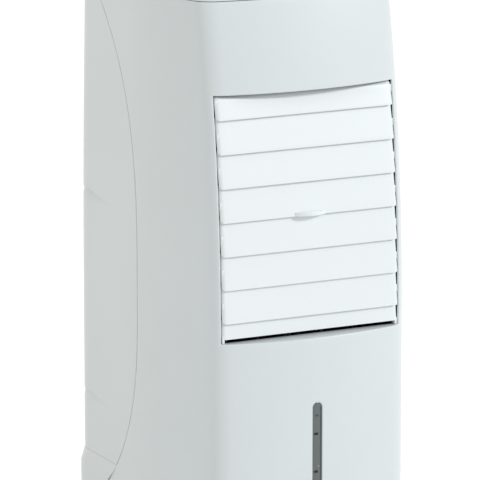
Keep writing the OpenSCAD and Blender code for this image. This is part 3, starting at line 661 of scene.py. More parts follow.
def boxes(name, corners, material):
    """Square-cut ribs and ledges: one closed box for each pair of corners."""
    skin = Skin()
    for (x0, y0, z0), (x1, y1, z1) in corners:
        plan = ((x0, y0), (x1, y0), (x1, y1), (x0, y1))
        skin.slab(*[[Vector((x, y, z)) for x, y in plan] for z in (z0, z1)])
    return skin.piece(name, material)


PANEL_FACE = up_hi.y
PANEL_THICK = up_hi.y - up_lo.y
LEDGE = 0.006
LEDGE_BACK = PANEL_FACE - PANEL_THICK - 0.0003
POCKET_FRONT = PANEL_FACE - 0.012
RIB = 0.0022
RIB_BACK = PANEL_FACE - 0.0008


def panel_pockets():
    """Four walls and a ledge behind each window, which the panel sits against."""
    corners = []
    in_x = WINDOW_HALF - LEDGE
    for low, high in WINDOWS:
        for side in (-1, 1):
            wall = sorted((side * WINDOW_HALF, side * (WINDOW_HALF + RIB)))
            step = sorted((side * in_x, side * WINDOW_HALF))
            corners.append(((wall[0], POCKET_FRONT, low - RIB), (wall[1], RIB_BACK, high + RIB)))
            corners.append(((step[0], POCKET_FRONT, low), (step[1], LEDGE_BACK, high)))
        for start, end in ((low - RIB, low), (high, high + RIB)):
            corners.append(((-WINDOW_HALF, POCKET_FRONT, start), (WINDOW_HALF, RIB_BACK, end)))
        for start, end in ((low, low + LEDGE), (high - LEDGE, high)):
            corners.append(((-in_x, POCKET_FRONT, start), (in_x, LEDGE_BACK, end)))
    return boxes("rear_shell_pockets", corners, WHITE_ABS)


TONGUE_INSETS = (0.0032, 0.0032, 0.0010, 0.0010, 0.0044, 0.0044)


def seam_tongue():
    """Thin lip of the rear shell that closes the seam from behind, 1 mm under the surface."""
    skin = Skin()
    for side in (-1, 1):
        loops = []
        for z in spread(rear_low, SHELL_HIGH, 110):
            steps = (-0.003, 0.0001, 0.0001, SEAM_GAP + 0.0002, SEAM_GAP + 0.0002, -0.003)
            stations = [SHELL.s_at(z, y=seam_y(z) + step) for step in steps]
            loops.append([SHELL.place(side * s, z, inset) for s, inset in zip(stations, TONGUE_INSETS)])
        ids = [[skin.add(p) for p in loop] for loop in loops]
        skin.fill(ids, closed=True)
        skin.faces += [tuple(ids[0]), tuple(reversed(ids[-1]))]
    return skin.piece("rear_shell_tongue", WHITE_ABS)


for moulding in (rear_shell(), panel_pockets(), seam_tongue()):
    shown(moulding, "cabinet", "white_abs", "rear_shell")


# ---- Base ----
# The floor, its skirt and the heel are moulded in the shells' ABS. The heel swells out below
# the rear shell in a soft shoulder, and holds the cord gland and the tank's drain.

SKIRT_LOW = base_lo.z
SKIRT_HIGH = base_hi.z
heel_lo, heel_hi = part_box("base_heel")
SHOULDER = 0.019
FLOOR_THICK = 0.004
FLOOR_IN = 0.0018
BASE_EDGE = 0.0006
FRONT_COLUMNS = 90
HEEL_COLUMNS = 70
GLAND_HOLE = 0.0082
DRAIN_HOLE = 0.013
CASTOR_TRAIL = 0.011
STEM_HOLE = 0.00405
BOSS_R = 0.009
BOSS_LOW = SKIRT_LOW + 0.012


def skirt():
    skin = Skin()
    stations = spread(-SKIRT.length, SKIRT.length, FRONT_COLUMNS)[:-1]
    skin.grid([[SKIRT.place(s, z) for s in stations] for z in spread(SKIRT_LOW, SKIRT_HIGH, 6)], closed=True)
    return round_edges(skin.moulding("base_skirt_moulding", WHITE_ABS, FLOOR_IN), BASE_EDGE)


def heel_point(s, z):
    """The heel's surface: the skirt's outline, drawn in to the shell's at the shoulder."""
    wide = SKIRT.place(s, z)
    if z < heel_hi.z - SHOULDER:
        return wide
    rise = (z - heel_hi.z + SHOULDER) / SHOULDER
    draw = 0.82 * rise + 0.18 * ease(rise)
    part, along = SKIRT.share(abs(s))
    narrow = SHELL.place(math.copysign(SHELL.at_share(part, along), s), z)
    return wide.lerp(narrow, draw)


def heel():
    skin = Skin()
    heights = spread(heel_lo.z, heel_hi.z - SHOULDER, 10) + spread(heel_hi.z - SHOULDER, heel_hi.z, 12)[1:]
    rows = []
    for z in heights:
        seam = SKIRT.s_at(z, y=seam_y(z) + SEAM_GAP)
        right = spread(seam, SKIRT.length, HEEL_COLUMNS)
        rows.append([heel_point(s, z) for s in right] + [heel_point(-s, z) for s in reversed(right[:-1])])
    skin.grid(rows)
    wall = skin.moulding("base_heel_moulding", WHITE_ABS, WALL)
    for fitting, radius in (("cord_gland", GLAND_HOLE), ("drain_plug", DRAIN_HOLE)):
        centre = middle_of(fitting)
        centre.y = 0
        cut(wall, turned("drill", rod(radius, 0.15, 0.2), centre, "Y", WHITE_ABS))
    return round_edges(wall, BASE_EDGE)


def middle_of(node_name):
    low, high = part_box(node_name)
    return (low + high) / 2


def rod(radius, start, end):
    """Profile of a plain rod: (radius, place along its axis) pairs."""
    return [(0, start), (radius, start), (radius, end), (0, end)]


def in_plan(x, y, z):
    return Vector((x, y, z))


def turned(name, profile, centre, axis, material, sides=48, place=in_plan):
    """A turned solid: its profile swept round an axis through a centre."""
    skin = Skin()
    sweep(skin, profile, centre, axis, sides, place)
    return skin.piece(name, material)


def sweep(skin, profile, centre, axis, sides=48, place=in_plan):
    loops = []
    for radius, along in profile:
        loop = []
        for k in range(sides):
            a = math.tau * k / sides
            u, v = radius * math.cos(a), radius * math.sin(a)
            offset = {"X": (along, u, v), "Y": (v, along, u), "Z": (u, v, along)}[axis]
            loop.append(place(*(Vector(centre) + Vector(offset))))
        loops.append(loop)
    skin.grid(loops, closed=True)


def floor_pan():
    """The floor under the tank, with a boss for each castor's stem."""
    skin = Skin()
    stations = spread(-SKIRT.length, SKIRT.length, FRONT_COLUMNS)[:-1]
    low, high = SKIRT_HIGH - FLOOR_THICK, SKIRT_HIGH - 0.0002
    skin.slab(*[[SKIRT.place(s, z, FLOOR_IN + 0.0002) for s in stations] for z in (low, high)])
    for i in range(1, 5):
        axle = middle_of(f"castor_wheel_{i}")
        stem = Vector((axle.x, axle.y - CASTOR_TRAIL, 0))
        tube = [(STEM_HOLE, BOSS_LOW), (BOSS_R - 0.0004, BOSS_LOW), (BOSS_R, BOSS_LOW + 0.0005)]
        tube += [(BOSS_R, low), (STEM_HOLE, low), (STEM_HOLE, BOSS_LOW)]
        sweep(skin, tube, stem, "Z", 32)
    return skin.piece("base_floor", WHITE_ABS)


shown(skirt(), "cabinet", "white_abs", "base_skirt")
shown(heel(), "cabinet", "white_abs", "base_heel")
shown(floor_pan(), "cabinet", "white_abs", "base")


# ---- Top cover ----
# A hollow cap in the same ABS. A control face slopes down to the front, and the rear of the
# flat top has the filler chute under its lid.

cap_lo, cap_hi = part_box("top_cover")
CAP_TOP = cap_hi.z
TILT = math.radians(31)
PANEL_HALF = 0.098
PANEL_LONG = 0.037
PANEL_PLATE = 0.002
WELL_DEEP = 0.03
THROUGH = 0.02
FACE = Vector((0, FRONT + 0.096, CAP_TOP - 0.031))
RIDGE = 0.010
SIDE_ROUND = 0.024
FACE_ROUND = 0.008
ROUND_FROM = CAP_TOP - 0.037
EDGE_STEPS = 9
CAP_MID = 30
CAP_SIDE = 70
lid_lo, lid_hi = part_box("filler_lid")
LID_HALF = 0.044
LID_THICK = 0.003
HINGE_FRONT = lid_hi.y - 0.0070
CHUTE_HALF = LID_HALF - 0.003
CHUTE_FRONT = lid_lo.y + 0.002
CHUTE_BACK = CHUTE_FRONT + 0.038


def top_height(y):
    """The lower of the control face and the flat top, blended at the ridge between them."""
    slope = FACE.z + math.tan(TILT) * (y - FACE.y)
    near = max(0.0, 1 - abs(slope - CAP_TOP) / RIDGE)
    return min(slope, CAP_TOP) - near * near * RIDGE / 4


def edge_round(s):
    """Radius of the rounding at the top of the wall, smaller where the control face meets it."""
    z = CAP_TOP
    for _ in range(5):
        z = top_height(SHELL.place(s, z).y)
    return FACE_ROUND + (SIDE_ROUND - FACE_ROUND) * ease((z - ROUND_FROM) / (CAP_TOP - ROUND_FROM))


def cap_point(s, inset):
    radius = edge_round(s)
    drop = radius - math.sqrt(max(0.0, radius**2 - max(0.0, radius - inset) ** 2))
    z = CAP_TOP
    for _ in range(6):
        z = top_height(SHELL.place(s, z, inset).y) - drop
    return SHELL.place(s, z, inset)


def cap_stations():
    front_corner = (SHELL.ends[0] + SHELL.ends[1]) / 2
    rear_corner = (SHELL.ends[3] + SHELL.ends[4]) / 2
    half = spread(0, front_corner, CAP_MID) + spread(front_corner, rear_corner, CAP_SIDE)[1:]
    half += spread(rear_corner, SHELL.length, CAP_MID)[1:]
    return half + [-s for s in reversed(half[1:-1])]


def across_patch(front, rear, left, right):
    """Rows of points that fill the loop made by four edges."""
    rows = []
    for i in range(len(left)):
        v = i / (len(left) - 1)
        row = []
        for j in range(len(front)):
            u = j / (len(front) - 1)
            corners = front[0] * (1 - u) * (1 - v) + front[-1] * u * (1 - v)
            corners += rear[0] * (1 - u) * v + rear[-1] * u * v
            row.append(front[j] * (1 - v) + rear[j] * v + left[i] * (1 - u) + right[i] * u - corners)
        rows.append(row)
    return rows


def rounded_loop(x0, x1, y0, y1, radius, steps=6):
    """Plan loop of a rectangle with round corners."""
    loop = []
    for cx, cy, start in ((x1, y0, -90), (x1, y1, 0), (x0, y1, 90), (x0, y0, 180)):
        ox = cx - math.copysign(radius, cx - (x0 + x1) / 2)
        oy = cy - math.copysign(radius, cy - (y0 + y1) / 2)
        for k in range(steps + 1):
            a = math.radians(start + 90 * k / steps)
            loop.append((ox + radius * math.cos(a), oy + radius * math.sin(a)))
    return loop


def on_face(x, y, z):
    """A point on the control face: x across, y up the slope, z out of it."""
    rise, run = math.sin(TILT), math.cos(TILT)
    return FACE + Vector((x, y * run - z * rise, y * rise + z * run))


def plates(name, stack, material, place=in_plan):
    """Flat plates in one piece, each a loop between two heights, in plan or on another face."""
    skin = Skin()
    for loop, low, high in stack:
        skin.slab([place(x, y, low) for x, y in loop], [place(x, y, high) for x, y in loop])
    return skin.piece(name, material)


def panel_loop(growth, radius):
    """Outline of the control panel, grown all round."""
    half, long = PANEL_HALF + growth, PANEL_LONG + growth
    return rounded_loop(-half, half, -long, long, radius)


def lid_loop(growth, front, back, radius):
    """Outline round the lid, from a front to a distance behind it."""
    return rounded_loop(-LID_HALF - growth, LID_HALF + growth, front, lid_hi.y + back, radius)


LID_HOLE = lid_loop(0.0006, lid_lo.y - 0.0006, 0.0007, 0.0046)


def cut_plate(piece, loop, low, high, place=in_plan):
    cut(piece, plates("cutter", [(loop, low, high)], WHITE_ABS, place))


def top_cover():
    stations = cap_stations()
    skin = Skin()
    rings = []
    for t in spread(0, 1, 5)[:-1]:
        ring = []
        for s in stations:
            top = cap_point(s, 0).z
            ring.append(SHELL.place(s, cap_lo.z + t * (top - cap_lo.z)))
        rings.append(ring)
    for k in range(EDGE_STEPS + 1):
        turn = math.pi / 2 * k / EDGE_STEPS
        rings.append([cap_point(s, edge_round(s) * (1 - math.cos(turn))) for s in stations])
    inner = [cap_point(s, edge_round(s) + 0.002) for s in stations]
    rings.append(inner)
    skin.grid(rings, closed=True)
    n = len(stations)
    front = [inner[k % n] for k in range(-CAP_MID, CAP_MID + 1)]
    right = [inner[k] for k in range(CAP_MID, CAP_MID + CAP_SIDE + 1)]
    rear = [inner[k] for k in range(3 * CAP_MID + CAP_SIDE, CAP_MID + CAP_SIDE - 1, -1)]
    left = [inner[n - k] for k in range(CAP_MID, CAP_MID + CAP_SIDE + 1)]
    patch = across_patch(front, rear, left, right)
    for row in patch:
        for p in row:
            p.z = top_height(p.y)
    skin.grid([[p.copy() for p in row] for row in patch])
    cover = skin.moulding("top_cover_moulding", WHITE_ABS, WALL)
    seat, well = panel_loop(0.0003, 0.0053), panel_loop(-0.006, 0.003)
    cut_plate(cover, seat, -PANEL_PLATE - 0.0002, THROUGH, on_face)
    cut_plate(cover, well, -WELL_DEEP, THROUGH, on_face)
    for loop in (LID_HOLE, lid_loop(0.0007, HINGE_FRONT, 0.0008, 0.0004)):
        cut_plate(cover, loop, CAP_TOP - THROUGH, CAP_TOP + THROUGH)
    return round_edges(cover, 0.0005, angle=50)


def filler_chute():
    outer = lid_loop(0.005, lid_lo.y - 0.003, 0.003, 0.006)
    chute = plates("top_cover_chute", [(outer, cap_lo.z + 0.004, CAP_TOP - 0.0028)], WHITE_ABS)
    bore = rounded_loop(-CHUTE_HALF, CHUTE_HALF, CHUTE_FRONT, CHUTE_BACK, 0.004)
    cut_plate(chute, bore, cap_lo.z - 0.01, CAP_TOP + 0.01)
    cut_plate(chute, LID_HOLE, CAP_TOP - LID_THICK - 0.0004, CAP_TOP + 0.01)
    cut_plate(chute, lid_loop(0.0026, HINGE_FRONT, 0.0007, 0.001), CAP_TOP - 0.0070, CAP_TOP + 0.01)
    return round_edges(chute, 0.0004, angle=50)


shown(top_cover(), "cabinet", "white_abs", "top_cover")
shown(filler_chute(), "cabinet", "white_abs", "top_cover")


# ---- Filler lid ----
# A flat ABS flap on a hinge rod at its rear edge, with a finger notch moulded in its front.

HINGE_R = 0.0032
NOTCH_R = 0.005
NOTCH_HALF = 0.014


def filler_lid():
    loop = rounded_loop(-LID_HALF, LID_HALF, lid_lo.y, lid_hi.y - HINGE_R + 0.0002, 0.004)
    flap = plates("filler_lid_flap", [(loop, CAP_TOP - LID_THICK, CAP_TOP)], WHITE_ABS)
    ends = [(NOTCH_R, NOTCH_HALF - 0.0004), (NOTCH_R - 0.0004, NOTCH_HALF), (0, NOTCH_HALF)]
    notch = [(radius, -along) for radius, along in reversed(ends)] + ends
    cut(flap, turned("notch", notch, (0, lid_lo.y - 0.001, CAP_TOP + 0.003), "X", WHITE_ABS))
    return round_edges(flap, 0.0006, angle=50)


def lid_hinge():
    barrel = LID_HALF - 0.0003
    pin = lid_hi.x
    profile = [(0, -pin), (0.0012, -pin), (0.0015, -pin + 0.0003), (0.0015, -barrel)]
    profile += [(HINGE_R - 0.0004, -barrel), (HINGE_R, -barrel + 0.0004)]
    profile += [(radius, -along) for radius, along in reversed(profile)]
    centre = (0, lid_hi.y - HINGE_R, CAP_TOP - HINGE_R)
    return smooth(turned("filler_lid_hinge", profile, centre, "X", WHITE_ABS, 24))


shown(filler_lid(), "filler_lid", "white_abs", "filler_lid")
shown(lid_hinge(), "filler_lid", "white_abs", "filler_lid")


# ---- Louvre slats ----
# Eight thin ABS blades that overlap like tiles. Each turns on two pins in the louvre frame,
# and a crank on its right lug takes the link that moves them together. One has a finger tab.

SLATS = 8
TOP_MARGIN = 0.028
CURL_FROM = 0.022
CURL_R = 0.008
CURL_TURN = math.radians(70)
LOW_MARGIN = 0.0235
PITCH = (OPEN_TALL - TOP_MARGIN - LOW_MARGIN) / (SLATS - 2)
CHORD = PITCH + 0.0067
SLAT_HALF = OPEN_HALF - 0.0022
SLAT_THICK = 0.0024
SLAT_CORNER = 0.004
ROLL_R = 0.005
ROLL_WIDE = ROLL_R * math.sin(math.radians(72))
SLAT_TILT = math.radians(7)
PROUD = 0.003
PIVOT_BACK = 0.015
PIVOT_UP = PITCH - 0.01925
PIN_REACH = 0.0026
PIN_R = 0.002
RIM = 0.0003
LUG_R = PIN_R + 0.0024
WEB_HALF = 0.004
ARM_HALF = 0.002
ARM_IN = 0.0003
LINK_PIN_R = 0.0014
CRANK_BOSS_R = 0.003
LUG_THICK = 0.0028
LUG_X = SLAT_HALF - 0.0004 - LUG_THICK
CRANK_R = 0.028
CRANK_TURN = math.radians(30)
TAB_R = 0.028
TAB_OUT = 0.008
TAB_THICK = 0.0046
CORNER_STEPS = 8


def slat_low(i):
    return OPEN_HIGH - TOP_MARGIN - PITCH * i


def chord_y(z):
    return SHELL.place(SHELL.at_x(OPEN_HALF), z).y


def slat_place(i):
    """Turns a point of the slat's own frame (x, back, up from its lower edge) into the cabinet's."""
    z = slat_low(i)
    lean_turn = math.asin(max(0.0, z - LEAN_Z) / LEAN_R)
    foot_y = chord_y(z) - PROUD

    def place(x, back, up):
        y = back * math.cos(lean_turn) + up * math.sin(lean_turn)
        rise = up * math.cos(lean_turn) - back * math.sin(lean_turn)
        return Vector((x, foot_y + y, z + rise))

    return place


def blade_place(i):
    """The blade leans back from its lower edge by the tilt."""
    place = slat_place(i)

    def on_blade(x, up, curled=0.0):
        past = max(0.0, abs(x) - SLAT_HALF + ROLL_WIDE)
        roll = ROLL_R - math.sqrt(ROLL_R**2 - past**2) + curled
        back = up * math.sin(SLAT_TILT) + roll * math.cos(SLAT_TILT)
        return place(x, back, up * math.cos(SLAT_TILT) - roll * math.sin(SLAT_TILT))

    return on_blade


def slat_blade(i):
    """A blade with rolled ends. The top one's upper edge curls back, clear of the lintel as it turns."""
    on_blade = blade_place(i)
    low = PITCH / 2 + 0.001 if i == SLATS - 1 else 0.0
    inner = SLAT_HALF - SLAT_CORNER
    turns = [math.pi / 2 * k / CORNER_STEPS for k in range(CORNER_STEPS + 1)]
    corner = [(inner + SLAT_CORNER * math.sin(a), low + SLAT_CORNER * (1 - math.cos(a))) for a in turns]
    turned_in = SLAT_HALF - ROLL_WIDE
    level = [x for x in spread(-turned_in, turned_in, 24) if abs(x) < inner]
    foot = [(-x, v) for x, v in reversed(corner)] + [(x, low) for x in level] + corner
    rows = []
    if i == 0:
        for t in spread(0, 1, 8):
            rows.append([on_blade(x, v + (CURL_FROM - v) * t) for x, v in foot])
        for turn in spread(0, CURL_TURN, 8)[1:]:
            up, back = CURL_FROM + CURL_R * math.sin(turn), CURL_R * (1 - math.cos(turn))
            rows.append([on_blade(x, up, back) for x, _ in foot])
    else:
        for t in spread(0, 1, 10):
            rows.append([on_blade(x, v + (low + CHORD - 2 * v) * t) for x, v in foot])
    skin = Skin()
    skin.grid(rows)
    return round_edges(skin.moulding(f"slat_{i + 1}_blade", SLAT_ABS, SLAT_THICK), 0.0009, segments=3)


def slat_fittings(i):
    """Lugs, pivot pins, and the crank with its link pin."""
    place = slat_place(i)
    pivot = place(0, PIVOT_BACK, PIVOT_UP)
    skin = Skin()
    for side in (-1, 1):
        inner, outer = sorted((side * LUG_X, side * (LUG_X + LUG_THICK)))
        lug = [(0, inner), (LUG_R - RIM, inner), (LUG_R, inner + RIM)]
        lug += [(LUG_R, outer - RIM), (LUG_R - RIM, outer), (0, outer)]
        sweep(skin, lug, pivot, "X", 24)
        near, far = sorted((side * (SLAT_HALF - 0.001), side * (OPEN_HALF + PIN_REACH)))
        pin = [(0, near), (PIN_R, near), (PIN_R, far - RIM), (PIN_R - RIM, far), (0, far)]
        sweep(skin, pin, pivot, "X", 24)
        root = PIVOT_UP * math.tan(SLAT_TILT) + 0.001
        low, high = PIVOT_UP - WEB_HALF, PIVOT_UP + WEB_HALF
        web = ((root, low), (PIVOT_BACK, low), (PIVOT_BACK, high), (root, high))
        skin.slab(*[[place(x, back, up) for back, up in web] for x in (inner, outer)])
    arm = Vector((0, math.cos(CRANK_TURN), math.sin(CRANK_TURN)))
    edge = ARM_HALF * Vector((0, -math.sin(CRANK_TURN), math.cos(CRANK_TURN)))
    root, crank = pivot - arm * 0.001, pivot + arm * CRANK_R
    bar = [root - edge, crank - edge, crank + edge, root + edge]
    ends = (LUG_X + ARM_IN, LUG_X + LUG_THICK - ARM_IN)
    skin.slab(*[[p + Vector((x, 0, 0)) for p in bar] for x in ends])
    sweep(skin, rod(CRANK_BOSS_R, LUG_X, LUG_X + LUG_THICK), crank, "X", 24)
    sweep(skin, rod(LINK_PIN_R, LUG_X - 0.005, LUG_X + 0.0005), crank, "X", 16)
    return round_edges(skin.piece(f"slat_{i + 1}_fittings", SLAT_ABS), 0.0002, segments=1)


def slat_tab(i):
    """Crescent lip for a fingertip on the lower edge."""
    place = slat_place(i)
    half = math.asin(0.020 / TAB_R)
    arc = [(TAB_R * math.sin(a), -TAB_OUT + TAB_R * (1 - math.cos(a))) for a in spread(-half, half, 32)]
    loop = [(x, min(back, 0.0012)) for x, back in arc]
    skin = Skin()
    skin.slab(*[[place(x, back, up) for x, back in loop] for up in (-0.0002, TAB_THICK - 0.0002)])
    lip = skin.piece(f"slat_{i + 1}_tab", SLAT_ABS)
    return round_edges(lip, 0.0014, segments=3)


for i in range(SLATS):
    for part in (slat_blade(i), slat_fittings(i)):
        shown(part, f"slat_{i + 1}", "slat_abs", f"slat_{i + 1}")
shown(slat_tab(3), "slat_4", "slat_abs", "slat_4")


# ---- Water gauge ----
# A smoked clear window is glued in behind the slot, with printed level marks. The sight tube
# behind it is a clear pipe that stands on the tank's outlet.

FLOW_MARK = 1 / 60

def one_noise_surface(name, hex_code, scale, detail, gloss, bump, inputs):
    """A surface whose relief and gloss, from its lowest to its highest, follow the same noise."""
    made = new_material(name)
    at = {"Vector": (node(made, "ShaderNodeTexCoord"), "Object")}
    noise = node(made, "ShaderNodeTexNoise", inputs={"Scale": scale, "Detail": detail}, links=at)
    relief = dict(zip(("Strength", "Distance"), bump))
    relief = node(made, "ShaderNodeBump", inputs=relief, links={"Height": (noise, "Fac")})
    rough = dict(zip(("To Min", "To Max"), gloss))
    rough = node(made, "ShaderNodeMapRange", inputs=rough, links={"Value": (noise, "Fac")})
    shader = node(
        made,
        "ShaderNodeBsdfPrincipled",
        inputs={"Base Color": srgb(hex_code), **inputs},
        links={"Roughness": (rough, "Result"), "Normal": (relief, "Normal")},
    )
    node(made, "ShaderNodeOutputMaterial", links={"Surface": (shader, 0)})
    return made


def clear_plastic(name, hex_code, roughness=0.06, ior=1.49, clearness=1.0):
    """Polished clear moulding: smooth, with faint flow marks that bend its reflections."""
    gloss = (roughness * 0.7, roughness * 1.3)
    inputs = {"IOR": ior, "Transmission Weight": clearness}
    return one_noise_surface(name, hex_code, 1 / FLOW_MARK, 2.0, gloss, (0.05, 0.0005), inputs)


SMOKED_ACRYLIC = clear_plastic("smoked_acrylic_window", "737A79", clearness=0.25)
CLEAR_TANK_PP = clear_plastic("milky_tank_polypropylene", "D5DDDD", roughness=0.35, clearness=0.35)
PRINT_BLACK = moulded_plastic("black_pad_print_ink", "060707", roughness=0.8)
# Grey ink for the printed full-mark arrow, and for the painted shade strip down the window's right side.
PRINT_AND_SHADE_GREY = moulded_plastic("grey_print_and_painted_shade_ink", "4A5050", roughness=0.6)
PRINT_PALE = moulded_plastic("pale_pad_print_ink", "A0A6A5", roughness=0.6)
WINDOW_GAP = 0.0002
WINDOW_IN = 0.0012
FLANGE_OUT = 0.0035
LINE_END = 0.005
MARK_TALL = 0.0026
MARK_STEP = 0.0448
FIRST_MARK = 0.0372
MARK_PROUD = 0.0003
FULL_MARK = 0.0165
LOW_MARK = 0.0765


def stadium(half, low, high, steps=12):
    """Upright slot outline (x, z), round at both ends."""
    top = [(half * math.cos(a), high - half + half * math.sin(a)) for a in spread(0, math.pi, steps)]
    return top + [(-x, low + high - z) for x, z in top]


def behind_front(x, z, depth):
    return Vector((x, FRONT + depth, z))


def gauge_window():
    loop = stadium(GAUGE_HALF - WINDOW_GAP, GAUGE_LOW + WINDOW_GAP, GAUGE_HIGH - WINDOW_GAP)
    flange = stadium(GAUGE_HALF + FLANGE_OUT, GAUGE_LOW - 0.004, GAUGE_HIGH + 0.004)
    stack = [(loop, WINDOW_IN, WALL + 0.001), (flange, WALL + 0.0004, WALL + 0.0024)]
    window = plates("gauge_window_lens", stack, SMOKED_ACRYLIC, behind_front)
    return round_edges(window, 0.0005, segments=3, angle=50)


def printed(name, loops, material):
    """Ink on the face of the window."""
    stack = [(loop, WINDOW_IN - MARK_PROUD, WINDOW_IN) for loop in loops]
    return plates(name, stack, material, behind_front)


def gauge_marks():
    """Level dashes, the full mark, and a grey strip down the right that is painted shade, where the slot's
    right inner wall is in shadow.
    """
    dashes = []
    for k in range(3):
        z = GAUGE_HIGH - FIRST_MARK - MARK_STEP * k
        dashes.append(rounded_loop(-0.0038, 0.0010, z - MARK_TALL / 2, z + MARK_TALL / 2, 0.0007, 4))
    full, low = GAUGE_HIGH - FULL_MARK, GAUGE_HIGH - LOW_MARK
    left, right = GAUGE_HALF - 0.0019, GAUGE_HALF - 0.0003
    # Painted shade: this grey strip down the right stands for the shadow on the slot's right inner wall.
    line = rounded_loop(left, right, GAUGE_LOW + LINE_END, GAUGE_HIGH - LINE_END, 0.0006, 4)
    arrow = [(-0.0026, full), (0.0022, full), (0.0012, full + 0.0024), (-0.0014, full + 0.0024)]
    dot = rounded_loop(0.0008, 0.0024, low, low + 0.0018, 0.0005, 4)
    return [
        printed("gauge_window_marks", dashes, PRINT_BLACK),
        printed("gauge_window_shade_strip_and_arrow", [line, arrow], PRINT_AND_SHADE_GREY),
        printed("gauge_window_dot", [dot], PRINT_PALE),
    ]


shown(gauge_window(), "cabinet", "smoked_acrylic", "gauge_window")
for ink in gauge_marks():
    shown(ink, "cabinet", "smoked_acrylic", "gauge_window")


# ---- Control panel ----
# A dark textured ABS plate let into the control face. It carries a smoked display window and
# five silver push buttons, which press straight down into it.

PANEL_GREY = moulded_plastic("textured_dark_grey_abs", "4A4E52", roughness=0.42, grain=0.25)
BUTTON_SILVER = moulded_plastic("silver_painted_abs", "B9BDC0", roughness=0.28, coat=0.3)
DISPLAY_ACRYLIC = clear_plastic("glossy_black_acrylic_display", "15181A", roughness=0.05, clearness=0.1)
DISPLAY_X = [corner.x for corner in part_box("display_window")]
DISPLAY_Y = (-0.0177, 0.0077)
BUTTONS = 5
BUTTON_FIRST = -0.014
BUTTON_PITCH = 0.023
BUTTON_ROW = -0.008
BUTTON_R = 0.008
BUTTON_PROUD = 0.0016
BUTTON_FOOT = 0.005


def on_face_turned(name, profile, k, material):
    """A turned solid that stands out of the control face at a button's place."""
    centre = (BUTTON_FIRST + k * BUTTON_PITCH, BUTTON_ROW, 0)
    return turned(name, profile, centre, "Z", material, place=on_face)


def display_loop(growth, radius):
    (x0, x1), (y0, y1) = DISPLAY_X, DISPLAY_Y
    return rounded_loop(x0 - growth, x1 + growth, y0 - growth, y1 + growth, radius)


def control_panel():
    panel = plates("control_panel_plate", [(panel_loop(0, 0.005), -PANEL_PLATE, 0.0)], PANEL_GREY, on_face)
    for k in range(BUTTONS):
        cut(panel, on_face_turned("drill", rod(BUTTON_R + 0.0003, -0.01, 0.01), k, PANEL_GREY))
    cut_plate(panel, display_loop(0.0003, 0.0023), -0.01, 0.01, on_face)
    return round_edges(panel, 0.0004, angle=50)


def display():
    stack = [(display_loop(0, 0.002), -0.003, -0.0003)]
    return round_edges(plates("display_window_lens", stack, DISPLAY_ACRYLIC, on_face), 0.0004, angle=50)


def button(k):
    """A dished cap with a rounded rim, a retaining flange and a stem to its switch."""
    rim = [(0, BUTTON_PROUD - 0.0007), (0.003, BUTTON_PROUD - 0.00062), (0.0055, BUTTON_PROUD - 0.0003)]
    rim += [(0.0068, BUTTON_PROUD), (0.0075, BUTTON_PROUD - 0.00015), (BUTTON_R, BUTTON_PROUD - 0.0007)]
    foot = [(BUTTON_R, -0.0026), (BUTTON_R + 0.0015, -0.0026), (BUTTON_R + 0.0015, -BUTTON_FOOT)]
    stem = [(0.0025, -BUTTON_FOOT), (0.0025, -0.0085), (0, -0.0085)]
    cap = on_face_turned(f"button_{k + 1}_cap", rim + foot + stem, k, BUTTON_SILVER)
    return round_edges(cap, 0.0002, segments=1, angle=50)


shown(control_panel(), "cabinet", "panel_grey", "control_panel")
shown(display(), "cabinet", "smoked_acrylic", "display_window")
for k in range(BUTTONS):
    shown(button(k), f"button_{k + 1}", "button_silver", f"button_{k + 1}")


# ---- Softened mouldings ----
# The frames, vanes, links, tank and trays are plain box-like mouldings with small round
# edges, so each is its CAD solid with its edges rounded by the radius such a tool leaves.

PALE_PP = moulded_plastic("satin_pale_polypropylene", "D3D6D6", roughness=0.42, grain=0.12, ior=1.49)
# The louvre frame's charcoal is partly painted shade: it is dark so that the gaps beside the slats, where
# the jambs' inner walls lie in shade, show dark.
CHARCOAL_AND_SHADE_FRAME_PP = moulded_plastic("charcoal_polypropylene_darkened_for_shade", "34383A", roughness=0.5, grain=0.15, ior=1.49)
GRILLE_ABS = moulded_plastic("satin_grille_abs", "D9DDDE", roughness=0.38, grain=0.08)
PUMP_ABS = moulded_plastic("matt_black_abs", "26282A", roughness=0.5, grain=0.2)
CASTOR_NYLON = moulded_plastic("black_castor_nylon", "2F3133", roughness=0.45, grain=0.2, ior=1.53)


def softened(node_name, radius, material, body, slot):
    """A CAD solid as a moulding: its flat faces joined up, and its edges rounded."""
    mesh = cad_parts[node_name].data.copy()
    mesh.materials.clear()
    mesh.materials.append(material)
    made = bpy.data.objects.new(f"{node_name}_moulding", mesh)
    bpy.context.scene.collection.objects.link(made)
    solid = bmesh.new()
    solid.from_mesh(mesh)
    bmesh.ops.remove_doubles(solid, verts=solid.verts, dist=SAME_POINT)
    bmesh.ops.dissolve_limit(solid, angle_limit=math.radians(0.6), verts=solid.verts, edges=solid.edges)
    solid.to_mesh(mesh)
    solid.free()
    round_edges(made, radius, angle=50)
    shown(made, body, slot, node_name)


